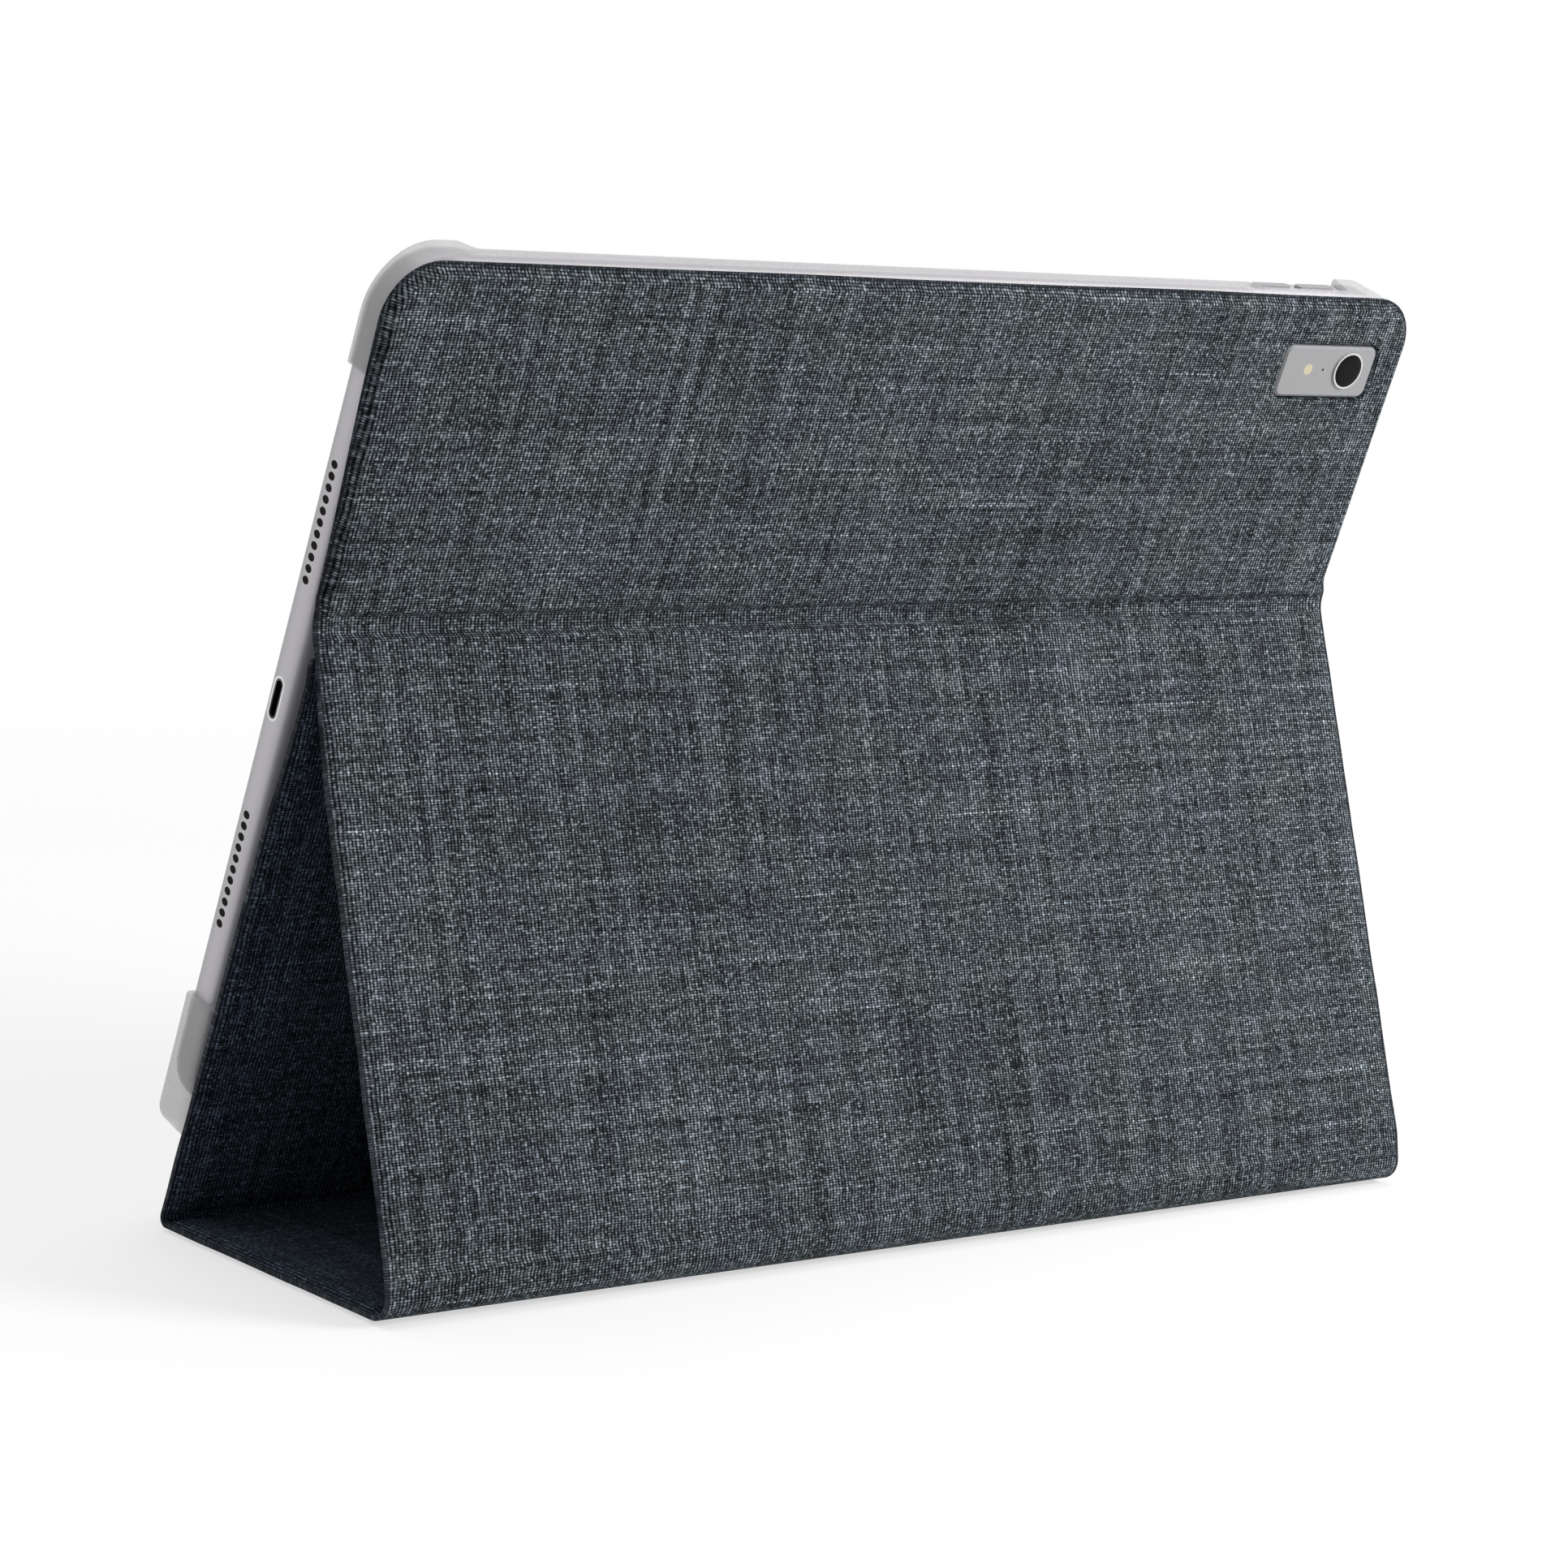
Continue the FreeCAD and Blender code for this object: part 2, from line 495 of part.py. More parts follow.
cover_end = "layout.cover_len - layout.front_gap"
tip = "sizes.cover_corner"
cover_sheet("cover_fabric", COVER, "0", cover_end, "sizes.hem", 1, tip)
cover_sheet("cover_lining", COVER, "0", cover_end, "sizes.hem", -1, tip)
cover_board = stiff_board("cover_board", COVER, "0", cover_end, "sizes.hem")
bar_magnets("cover_magnets", cover_board, COVER,
            "sizes.hem + sizes.bevel + sizes.magnet_inset + sizes.magnet_tall / 2")

# Fabric hinges: the middle of the fold, the first direction of its arc, its radius and its turn
fold_strip("heel_strip", "layout.heel_y + layout.heel_gap", "layout.heel_z + sizes.heel_round",
           "90 + sizes.spine_slope", "sizes.heel_round", "180 - sizes.spine_slope")
fold_strip("front_strip", "layout.front_y - layout.front_gap", "layout.heel_z + sizes.front_round",
           "270", "sizes.front_round", "180 - layout.cover_slope")
fold_strip("spine_strip",
           "layout.spine_y + sizes.spine_gap * cos(sizes.flap_slope)"
           " + layout.spine_round * sin(sizes.flap_slope)",
           "layout.spine_z + sizes.spine_gap * sin(sizes.flap_slope)"
           " - layout.spine_round * cos(sizes.flap_slope)",
           "90 + sizes.flap_slope", "layout.spine_round", "sizes.spine_slope - sizes.flap_slope")
fold_strip("crease_strip",
           "layout.crease_y - sizes.crease_gap * sin(layout.tablet_lean)"
           " - layout.crease_round * cos(layout.tablet_lean)",
           "layout.crease_z + sizes.crease_gap * cos(layout.tablet_lean)"
           " - layout.crease_round * sin(layout.tablet_lean)",
           "sizes.flap_slope - 90", "layout.crease_round", "layout.crease_bend")


# Upper back: pressed down onto the shell round its edges, with the camera window in it
def upper_back():
    """Fabric, board and adhesive of the panel that is bonded to the shell."""
    start = "sizes.crease_gap"
    end = "layout.upper_len"
    floor = "-layout.half_stack"
    span, middle = panel_span(start, end)
    bed_wide = "layout.case_width - 2 * sizes.upper_hem"
    bed_span, bed_middle = panel_span(start, f"{end} - sizes.upper_hem")
    board_wide = f"{bed_wide} - 2 * sizes.bevel"
    board_span = f"{bed_span} - 2 * sizes.bevel"
    board_corner = "sizes.upper_corner - sizes.upper_hem - sizes.bevel"
    window = ("layout.window_at_x", "layout.window_at_y", floor)
    board_window = ("sizes.window_wide + 2 * sizes.bevel", "sizes.window_tall + 2 * sizes.bevel",
                    "sizes.window_corner + sizes.bevel")
    through = "2 * layout.half_stack"

    fabric = new_body("upper_fabric", TRAY)
    bed = new_sketch(fabric, "XY_Plane", (None, bed_middle, floor))
    draw_rectangle(bed, bed_wide, bed_span)
    grow(fabric, bed, through)
    round_top(fabric, f"{end} - sizes.upper_hem", "sizes.upper_corner - sizes.upper_hem")
    dress(fabric, "Chamfer", "Size", "sizes.bevel_drop",
          lambda e: level(e, number("layout.half_stack")))
    flat = new_sketch(fabric, "XY_Plane", (None, middle, floor))
    draw_rectangle(flat, "layout.case_width", span)
    grow(fabric, flat, "sizes.fabric_thick")
    round_top(fabric, end, "sizes.upper_corner")
    hollow = new_sketch(fabric, "XY_Plane", (None, bed_middle, floor))
    draw_outline(hollow, board_wide, board_span, board_corner)
    dig(fabric, hollow, "2 * layout.half_stack - sizes.fabric_thick")
    island = new_sketch(fabric, "XY_Plane", window)
    draw_outline(island, *board_window)
    grow(fabric, island, through)
    hole = new_sketch(fabric, "XY_Plane", window)
    draw_outline(hole, "sizes.window_wide", "sizes.window_tall", "sizes.window_corner")
    dig(fabric, hole, through)

    adhesive_thick = "layout.half_stack - sizes.board_thick / 2"
    for label, low, thick in (("upper_board", "-sizes.board_thick / 2", "sizes.board_thick"),
                              ("upper_adhesive", floor, adhesive_thick)):
        body = new_body(label, TRAY)
        plate = new_sketch(body, "XY_Plane", (None, bed_middle, low))
        draw_outline(plate, board_wide, board_span, board_corner)
        grow(body, plate, thick)
        hole = new_sketch(body, "XY_Plane", (window[0], window[1], low))
        draw_outline(hole, *board_window)
        dig(body, hole, thick)


upper_back()

TABLET_Y = "-sizes.tablet_drop"


# Clear shell
def clear_shell():
    """Moulded tray: rounded back, thin walls, open at both ends and at the volume buttons."""
    shell = new_body("clear_shell", TRAY)
    depth = "layout.shell_back - layout.side_front"
    block = new_sketch(shell, "XY_Plane", (None, "layout.shell_mid", "layout.side_front"))
    draw_rectangle(block, "layout.shell_wide", "layout.shell_tall")
    grow(shell, block, depth)
    round_top(shell, "layout.shell_top", "layout.shell_corner")
    round_top(shell, "layout.shell_bottom", "sizes.foot_corner")
    back = number("layout.shell_back")
    dress(shell, "Fillet", "Radius", "sizes.shell_round", lambda e: level(e, back))
    cavity = new_sketch(shell, "XY_Plane", (None, TABLET_Y, "layout.side_front"))
    gap = "2 * sizes.shell_gap"
    draw_outline(cavity, f"sizes.tablet_wide + {gap}", f"sizes.tablet_tall + {gap}",
                 "sizes.tablet_corner + sizes.shell_gap")
    dig(shell, cavity, f"{depth} - sizes.shell_wall")
    ends = new_sketch(shell, "XY_Plane", (None, "layout.ends_mid", "layout.side_front"))
    draw_rectangle(ends, "layout.shell_wide + 2 * sizes.shell_wall", "layout.ends_tall")
    dig(shell, ends, f"{depth} - sizes.shell_wall")
    buttons = new_sketch(shell, "XY_Plane",
                         ("layout.button_cut_at", "layout.shell_top", "layout.side_front"))
    draw_rectangle(buttons, "sizes.button_cut_len", "4 * sizes.shell_wall")
    dig(shell, buttons, f"{depth} - sizes.shell_wall")
    camera = new_sketch(shell, "XY_Plane", ("layout.window_at_x", "layout.window_at_y",
                                            "layout.shell_back - sizes.shell_wall"))
    draw_outline(camera, "sizes.window_wide + 2 * sizes.window_margin",
                 "sizes.window_tall + 2 * sizes.window_margin",
                 "sizes.window_corner + sizes.window_margin")
    dig(shell, camera, "sizes.shell_wall")


def corner_lips():
    """Four hooks at the shell's corners that snap over the edge of the glass."""
    lips = new_body("corner_lips", TRAY)
    block = new_sketch(lips, "XY_Plane", (None, "layout.shell_mid", "layout.lip_front"))
    draw_rectangle(block, "layout.shell_wide", "layout.shell_tall")
    grow(lips, block, "layout.side_front - layout.lip_front")
    round_top(lips, "layout.shell_top", "layout.shell_corner")
    round_top(lips, "layout.shell_bottom", "sizes.foot_corner")
    front = number("layout.lip_front")
    dress(lips, "Fillet", "Radius", "0.7 * sizes.shell_wall", lambda e: level(e, front))
    throat = new_sketch(lips, "XY_Plane", (None, TABLET_Y, "layout.lip_front"))
    draw_outline(throat, "sizes.tablet_wide - 2 * sizes.lip_hook",
                 "sizes.tablet_tall - 2 * sizes.lip_hook",
                 "sizes.tablet_corner - sizes.lip_hook")
    dig(lips, throat, "layout.side_front - layout.lip_front")
    seat = new_sketch(lips, "XY_Plane", (None, TABLET_Y, "layout.lip_under"))
    gap = "2 * sizes.shell_gap"
    draw_outline(seat, f"sizes.tablet_wide + {gap}", f"sizes.tablet_tall + {gap}",
                 "sizes.tablet_corner + sizes.shell_gap")
    dig(lips, seat, "layout.side_front - layout.lip_under")
    margin = "2 * sizes.shell_wall"
    for middle, wide, tall in (
            ("layout.ends_mid", f"layout.shell_wide + {margin}", "layout.ends_tall"),
            ("layout.shell_mid", "layout.shell_wide - 2 * sizes.lip_arm",
             f"layout.shell_tall + {margin}")):
        gap_sketch = new_sketch(lips, "XY_Plane", (None, middle, "layout.lip_front"))
        draw_rectangle(gap_sketch, wide, tall)
        dig(lips, gap_sketch, "layout.side_front - layout.lip_front")


clear_shell()
corner_lips()

# Tablet
SIDE_X = "sizes.tablet_wide / 2"
TOP_Y = f"{TABLET_Y} + sizes.tablet_tall / 2"
INSIDE = "sizes.tablet_rim"
glass_floor = "layout.tablet_front + sizes.glass_thick"


def side_sketch(body, right, along, inset):
    """Sketch on the tablet's left or right side, its X up the side and its normal along X."""
    x = f"{SIDE_X} - ({inset})" if right else f"-{SIDE_X} + ({inset})"
    return new_sketch(body, "YZ_Plane", (f"{TABLET_Y} + ({along})", "layout.tablet_mid", x))


def top_sketch(body, along, inset):
    """Sketch on the tablet's top edge, its X along the edge and its normal down into the tablet."""
    return new_sketch(body, "XZ_Plane", (along, "layout.tablet_mid", f"-({TOP_Y} - ({inset}))"))


def tablet_housing():
    """Aluminium tray with rounded sides, hollow inside, with all of its openings."""
    body = new_body("tablet_housing", TRAY)
    at = (None, TABLET_Y, "layout.tablet_front")
    block = new_sketch(body, "XY_Plane", at)
    draw_outline(block, "sizes.tablet_wide", "sizes.tablet_tall", "sizes.tablet_corner")
    grow(body, block, "sizes.tablet_thick")
    back = number("layout.tablet_back")
    front = number("layout.tablet_front")
    dress(body, "Fillet", "Radius", "sizes.tablet_back_round", lambda e: level(e, back))
    dress(body, "Chamfer", "Size", "sizes.tablet_chamfer", lambda e: level(e, front))
    for inset, deep in (("sizes.glass_ledge", "sizes.glass_thick"),
                        (INSIDE, "sizes.tablet_thick - sizes.tablet_wall")):
        recess = new_sketch(body, "XY_Plane", at)
        draw_outline(recess, f"sizes.tablet_wide - 2 * {inset}", f"sizes.tablet_tall - 2 * {inset}",
                     f"sizes.tablet_corner - {inset}")
        dig(body, recess, deep)
    wall = f"{INSIDE} + 1"
    port = side_sketch(body, False, "0", "-1")
    draw_slot(port, "sizes.port_long", "sizes.port_high")
    dig(body, port, f"{wall} + 1")
    for place in (-1, 1):
        slot = top_sketch(body, f"layout.button_cut_at + {place} * sizes.volume_pitch / 2", "-1")
        draw_slot(slot, "sizes.button_long + 2 * sizes.button_gap",
                  "sizes.button_high + 2 * sizes.button_gap")
        dig(body, slot, f"{wall} + 1")
    power = side_sketch(body, True, "layout.power_at", "-1")
    draw_slot(power, "sizes.button_long + 2 * sizes.button_gap",
              "sizes.button_high + 2 * sizes.button_gap")
    dig(body, power, f"{wall} + 1", False)
    for right in (False, True):
        for row in (-1, 1):
            first = (f"{row} * layout.speaker_at"
                     " - sizes.speaker_pitch * (sizes.speaker_count - 1) / 2")
            hole = side_sketch(body, right, first, "-1")
            draw_polygon(hole, "sizes.speaker_sides", "sizes.speaker_bore")
            bore = dig(body, hole, f"{wall} + 1", not right)
            holes = body.newObject("PartDesign::LinearPattern", "speaker_row")
            holes.Originals = [bore]
            holes.Direction = (hole, ["H_Axis"])
            holes.setExpression("Length", "sizes.speaker_pitch * (sizes.speaker_count - 1)")
            holes.setExpression("Occurrences", "sizes.speaker_count")
            body.Tip = holes
            DOC.recompute()


def tablet_glass():
    """Plain front glass with the display under it, set in the housing's ledge."""
    body = new_body("tablet_glass", TRAY)
    sketch = new_sketch(body, "XY_Plane", (None, TABLET_Y, "layout.tablet_front"))
    inset = "(sizes.glass_ledge + sizes.glass_gap)"
    draw_outline(sketch, f"sizes.tablet_wide - 2 * {inset}", f"sizes.tablet_tall - 2 * {inset}",
                 f"sizes.tablet_corner - {inset}")
    grow(body, sketch, "sizes.glass_thick")


def charge_port():
    """Metal rim and socket of the charging port."""
    body = new_body("charge_port", TRAY)
    rim = side_sketch(body, False, "0", "0")
    draw_slot(rim, "sizes.port_long", "sizes.port_high")
    grow(body, rim, "sizes.port_deep")
    slot = side_sketch(body, False, "0", "0")
    draw_slot(slot, "sizes.slot_long", "sizes.slot_high")
    dig(body, slot, "sizes.slot_deep")


def speaker_meshes():
    """Mesh behind each row of speaker holes, on the inner face of the housing's side."""
    body = new_body("speaker_meshes", TRAY)
    for right in (False, True):
        for row in (-1, 1):
            sheet = side_sketch(body, right, f"{row} * layout.speaker_at", INSIDE)
            draw_rectangle(sheet, "sizes.speaker_pitch * (sizes.speaker_count - 1)"
                           " + sizes.speaker_bore + 2 * sizes.mesh_edge",
                           "sizes.speaker_bore + 2 * sizes.mesh_edge")
            grow(body, sheet, "sizes.mesh_thick", right)


def camera_plate():
    """Raised metal plate in the case's window, with seats for the lens ring, flash and microphone."""
    body = new_body("camera_plate", TRAY)
    plate = new_sketch(body, "XY_Plane",
                       ("layout.window_at_x", "layout.window_at_y", "layout.tablet_back"))
    gap = "2 * sizes.plate_gap"
    draw_outline(plate, f"sizes.window_wide - {gap}", f"sizes.window_tall - {gap}",
                 "sizes.window_corner - sizes.plate_gap")
    grow(body, plate, "sizes.plate_proud")
    top = number("layout.plate_top")
    dress(body, "Chamfer", "Size", "sizes.plate_bevel", lambda e: level(e, top))
    for x, bore in (("layout.camera_at_x", "sizes.camera_ring"),
                    ("layout.flash_at_x", "sizes.flash_bore"),
                    ("layout.mic_at_x", "sizes.mic_bore")):
        eye = new_sketch(body, "XY_Plane", (x, "layout.camera_at_y", "layout.plate_top"))
        draw_circle(eye, bore)
        dig(body, eye, "sizes.camera_seat", False)


def camera():
    """Lens ring, lens glass and flash lens, seated in the camera plate."""
    ring = new_body("camera_ring", TRAY)
    at = ("layout.camera_at_x", "layout.camera_at_y", "layout.plate_top - sizes.camera_seat")
    outer = new_sketch(ring, "XY_Plane", at)
    draw_circle(outer, "sizes.camera_ring")
    grow(ring, outer, "sizes.camera_seat + sizes.camera_proud")
    bore = new_sketch(ring, "XY_Plane", at)
    draw_circle(bore, "sizes.camera_glass")
    dig(ring, bore, "sizes.camera_seat + sizes.camera_proud")
    lens = new_body("camera_lens", TRAY)
    glass = new_sketch(lens, "XY_Plane", at)
    draw_circle(glass, "sizes.camera_glass")
    grow(lens, glass, "sizes.camera_seat + sizes.camera_proud - sizes.lens_sunk")
    flash = new_body("flash_lens", TRAY)
    disc = new_sketch(flash, "XY_Plane", ("layout.flash_at_x", at[1], at[2]))
    draw_circle(disc, "sizes.flash_bore")
    grow(flash, disc, "sizes.camera_seat")


def side_button(label, sketch_at, backwards):
    """Button with a flange inside the wall. sketch_at makes a sketch at an inset from the side."""
    body = new_body(label, TRAY)
    face = sketch_at(body, "-sizes.button_proud")
    draw_slot(face, "sizes.button_long", "sizes.button_high")
    grow(body, face, f"sizes.button_proud + {INSIDE} + 2 * sizes.button_gap", backwards)
    flange = sketch_at(body, f"{INSIDE} + sizes.button_gap")
    draw_slot(flange, "sizes.button_long + 2 * sizes.button_flange",
              "sizes.button_high + 2 * sizes.button_gap + sizes.button_flange")
    grow(body, flange, "sizes.button_flange", backwards)


def tablet_inside():
    """Battery cells and logic board, glued to the inside of the housing's back."""
    floor = "layout.tablet_back - sizes.tablet_wall"
    battery = new_body("battery_cells", TRAY)
    for place in (-1, 1):
        cell = new_sketch(battery, "XY_Plane",
                          (f"{place} * (sizes.battery_gap + layout.battery_wide) / 2", TABLET_Y, floor))
        draw_rectangle(cell, "layout.battery_wide", "layout.battery_tall")
        grow(battery, cell, "layout.battery_thick", True)
    board = new_body("logic_board", TRAY)
    plate = new_sketch(board, "XY_Plane",
                       ("-layout.battery_edge - sizes.logic_gap - sizes.logic_wide / 2", TABLET_Y, floor))
    draw_rectangle(plate, "sizes.logic_wide", "layout.battery_tall")
    grow(board, plate, "sizes.logic_thick", True)


tablet_housing()
tablet_glass()
charge_port()
speaker_meshes()
camera_plate()
camera()
tablet_inside()
for label, place in (("volume_up_button", -1), ("volume_down_button", 1)):
    along = f"layout.button_cut_at + {place} * sizes.volume_pitch / 2"
    side_button(label, lambda body, inset, along=along: top_sketch(body, along, inset), False)
side_button("power_button",
            lambda body, inset: side_sketch(body, True, "layout.power_at", inset), True)

DOC.recompute()
bodies = [item for item in DOC.Objects if item.TypeId == "PartDesign::Body"]
for item in DOC.Objects:
    if "Invalid" in item.State or "Error" in item.State:
        raise RuntimeError(f"{item.Label} failed: {item.State}")
for item in bodies:
    if item.Shape.isNull() or not item.Shape.isValid() or not item.Shape.Solids:
        raise RuntimeError(item.Label + " has no valid solid")

os.makedirs("parts", exist_ok=True)
whole = FreeCAD.BoundBox()
for item in bodies:
    item.Shape.exportStep(f"parts/{item.Label}.step")
    whole.add(item.Shape.BoundBox)
    print(f"{item.Label}: {len(item.Shape.Solids)} solid(s), {item.Shape.Volume:.1f} mm3")
print(f"{len(bodies)} pieces, X {whole.XMin:.2f} to {whole.XMax:.2f}, "
      f"Y {whole.YMin:.2f} to {whole.YMax:.2f}, Z {whole.ZMin:.2f} to {whole.ZMax:.2f}")
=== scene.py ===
# %% [markdown]
# # A woven folio case, folded into a stand behind its tablet
# The real case is one long strip of cloth glued round stiff boards. Four soft folds turn the
# strip into a triangle, and a moulded clear shell on its last panel holds the tablet. The CAD
# frame already has every board, fold line and size, so this lesson only dresses it: cloth that
# runs round the folds, a frosted shell, blasted metal, glass, a floor and light.

# %% Load the frame
import json
from contextlib import contextmanager

import bmesh
import bpy
import numpy as np
from mathutils import Matrix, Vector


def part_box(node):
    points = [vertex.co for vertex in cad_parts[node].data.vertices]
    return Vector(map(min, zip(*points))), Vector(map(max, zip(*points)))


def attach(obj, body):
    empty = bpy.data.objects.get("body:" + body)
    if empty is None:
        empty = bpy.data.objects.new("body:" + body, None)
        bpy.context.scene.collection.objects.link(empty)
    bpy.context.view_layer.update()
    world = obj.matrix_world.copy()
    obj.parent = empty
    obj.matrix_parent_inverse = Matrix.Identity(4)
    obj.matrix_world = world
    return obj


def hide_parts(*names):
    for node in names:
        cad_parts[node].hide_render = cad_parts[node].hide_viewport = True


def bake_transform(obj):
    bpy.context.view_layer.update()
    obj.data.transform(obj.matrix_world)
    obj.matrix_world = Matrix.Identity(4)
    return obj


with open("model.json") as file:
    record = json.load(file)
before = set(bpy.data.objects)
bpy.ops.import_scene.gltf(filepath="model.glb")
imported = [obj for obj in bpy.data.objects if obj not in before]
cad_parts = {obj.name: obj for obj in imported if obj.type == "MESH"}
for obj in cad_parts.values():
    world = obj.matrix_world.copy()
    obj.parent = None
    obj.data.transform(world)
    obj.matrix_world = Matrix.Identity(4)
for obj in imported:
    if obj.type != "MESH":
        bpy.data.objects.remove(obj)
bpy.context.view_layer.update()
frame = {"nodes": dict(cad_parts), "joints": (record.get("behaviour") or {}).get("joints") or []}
MM = 0.001

# %% [markdown]
# ## The walk along the strip
# Seen from the end, the whole case is one line. It walks from the cover's free hem, which the
# flap presses round, down to the front fold, back along the table, round the heel, up the flap
# and over the crease to the top. Each leg is a length with a turn, so a straight panel is an arc
# with no turn. Any grid of walked lengths can then be laid on the folded case in one step, and
# the weave can use the same length as its own coordinate, which keeps the threads unbroken
# across the folds.

# %% Legs of the walk
joint_at = {j["name"]: np.array(j["pos_m"][1:]) / MM for j in frame["joints"] if "pos_m" in j}
slide = next(j for j in frame["joints"] if j["name"] == "tablet_slide")["axis"]
heel, crease, hub = joint_at["heel_fold"], joint_at["crease_fold"], joint_at["cover_fold"]
SPINE_SLOPE, SPINE_LEN, BASE_LEN, UPPER_LEN = np.radians(79.0), 10.0, 72.8, 68.1
TIP_FROM_CREASE = np.array([-0.77, -9.03])
HEEL_ROUND, SPINE_GAP, CREASE_GAP, HEM_ROUND, HEM_BACK = 4.0, 1.2, 2.4, 11.0, 3.0
front_round = hub[1] - heel[1]
half_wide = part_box("flap_fabric")[1][0] / MM

foot = heel + SPINE_LEN * np.array([np.cos(SPINE_SLOPE), np.sin(SPINE_SLOPE)])
corner, tip = heel + [BASE_LEN, 0], crease + TIP_FROM_CREASE
flap_len, cover_len = np.hypot(*(crease - foot)), np.hypot(*(corner - tip))
flap_slope = np.arctan2(crease[1] - foot[1], crease[0] - foot[0])
cover_slope = np.arctan2(tip[1] - corner[1], corner[0] - tip[0])
upper_slope = np.arctan2(slide[1], -slide[2])
turns = {"hem": np.pi - cover_slope - flap_slope, "front": cover_slope - np.pi,
         "heel": SPINE_SLOPE - np.pi, "foot": flap_slope - SPINE_SLOPE,
         "crease": upper_slope - flap_slope}
front_gap = front_round * np.tan(-turns["front"] / 2)
heel_gap = HEEL_ROUND * np.tan(-turns["heel"] / 2)
fold_gap = {"front": front_gap, "heel": heel_gap, "foot": SPINE_GAP, "crease": CREASE_GAP}


def fold_leg(name):
    """Length and turn of a fold: radius times angle, the radius being gap over tan(half turn)."""
    turn = turns[name]
    return abs(fold_gap[name] / np.tan(turn / 2) * turn), turn


legs = {
    "hem": (HEM_ROUND * turns["hem"], turns["hem"]),
    "cover": (cover_len - front_gap - HEM_BACK, 0), "front": fold_leg("front"),
    "base": (BASE_LEN - front_gap - heel_gap, 0), "heel": fold_leg("heel"),
    "spine": (SPINE_LEN - heel_gap - SPINE_GAP, 0), "foot": fold_leg("foot"),
    "flap": (flap_len - SPINE_GAP - CREASE_GAP, 0), "crease": fold_leg("crease"),
    "upper": (UPPER_LEN - CREASE_GAP, 0)}

# %% Lay the legs end to end
lengths = np.array([leg[0] for leg in legs.values()])
starts = np.concatenate([[0], np.cumsum(lengths)[:-1]])
bends = np.array([leg[1] / leg[0] for leg in legs.values()])
headings = np.concatenate([[0], np.cumsum(lengths * bends)[:-1]]) - cover_slope - turns["hem"]
leg_at = {name: (s, s + n) for name, s, n in zip(legs, starts, lengths)}


def step(length, heading, bend):
    """Chord of an arc: its length times sinc(half the turn), along the heading of its middle."""
    half = bend * length / 2
    reach = length * np.sinc(half / np.pi)
    return np.stack([reach * np.cos(heading + half), reach * np.sin(heading + half)], -1)


strides = np.concatenate([[[0, 0]], np.cumsum(step(lengths, headings, bends), 0)[:-1]])
board_tip = tip + HEM_BACK * np.array([np.cos(cover_slope), -np.sin(cover_slope)])
joints_of_walk = board_tip - strides[1] + strides


def walk(s, x, out):
    """Points, in metres, at walked length s and place x along the case, lifted by out.

    The leg that holds s is found first; the point is its start plus the chord of the arc walked
    since, and the lift is along the heading turned a quarter left, which is the cloth's side.
    """
    s, x, out = np.broadcast_arrays(s, x, out)
    leg = np.clip(np.searchsorted(starts, s, side="right") - 1, 0, len(starts) - 1)
    since = s - starts[leg]
    place = joints_of_walk[leg] + step(since, headings[leg], bends[leg])
    heading = headings[leg] + bends[leg] * since
    y = place[..., 0] - out * np.sin(heading)
    z = place[..., 1] + out * np.cos(heading)
    return np.stack([x, y, z], -1) * MM


end_of_walk = joints_of_walk[-1] + step(lengths[-1], headings[-1], 0)
top_edge = crease + UPPER_LEN * np.array([np.cos(upper_slope), np.sin(upper_slope)])
print("walk:", {n: round(float(a), 1) for n, (a, b) in leg_at.items()}, "mm, ends",
      np.round(end_of_walk - top_edge, 3), "mm from the top edge")

# %% [markdown]
# ## Cloth over boards
# The real panels are a board between an outer cloth and a lining. Past the board the two cloths
# are pressed together, so a thin hem runs along the sides and the panel swells softly at the
# board's edge. A Solidify on a flat plane would be equally thick all over. Here the lift of each
# face is a formula of x and s: thin at hems and folds, thick over the boards.

# %% Thickness of the strip
THIN, THICK, UNEVEN = 0.5, 1.1, 0.05
SIDE_HEM, SIDE_RAMP, FOLD_RAMP, TIP_HEM = 0.4, 1.9, 1.8, 3.0
GROOVE_HALF, GROOVE_RAMP, GROOVE_FLOOR, GROOVE_FADE = 1.2, 1.8, -0.35, 7.0
GROOVE_WANDER, PRESSED = 0.25, 0.7
HEM_ON_SHELL, SHELL_RAMP, PAST_TOP = -0.6, 3.0, 9.0


def ease(t):
    """Smooth step: 0 below 0, 1 above 1 and 3t^2 - 2t^3 between."""
    t = np.clip(t, 0, 1)
    return t * t * (3 - 2 * t)


def waves(x, s, seed):
    """Faint unevenness from -1 to 1: a sum of three crossed sine waves of unlike lengths."""
    a = np.sin(0.071 * x + 1.3 * seed) * np.cos(0.093 * s + 2.1 * seed)
    b = np.sin(0.163 * x - 0.121 * s + 0.7 * seed)
    c = np.cos(0.29 * x + 0.21 * s + 3.3 * seed)
    return (a + 0.6 * b + 0.4 * c) / 2


def over_board(x, s):
    """1 over a board and 0 at hems and folds: the product of smooth steps from each edge.

    The flap's stretch runs on past the top edge, because the upper back has an outline of its own.
    """
    along = sum(ease((s - a) / FOLD_RAMP) * ease((b - s) / FOLD_RAMP)
                for a, b in (leg_at["base"], leg_at["spine"],
                             (leg_at["flap"][0], leg_at["upper"][1] + PAST_TOP),
                             (leg_at["cover"][0] + TIP_HEM, leg_at["cover"][1])))
    return along * ease((half_wide - SIDE_HEM - np.abs(x)) / SIDE_RAMP)


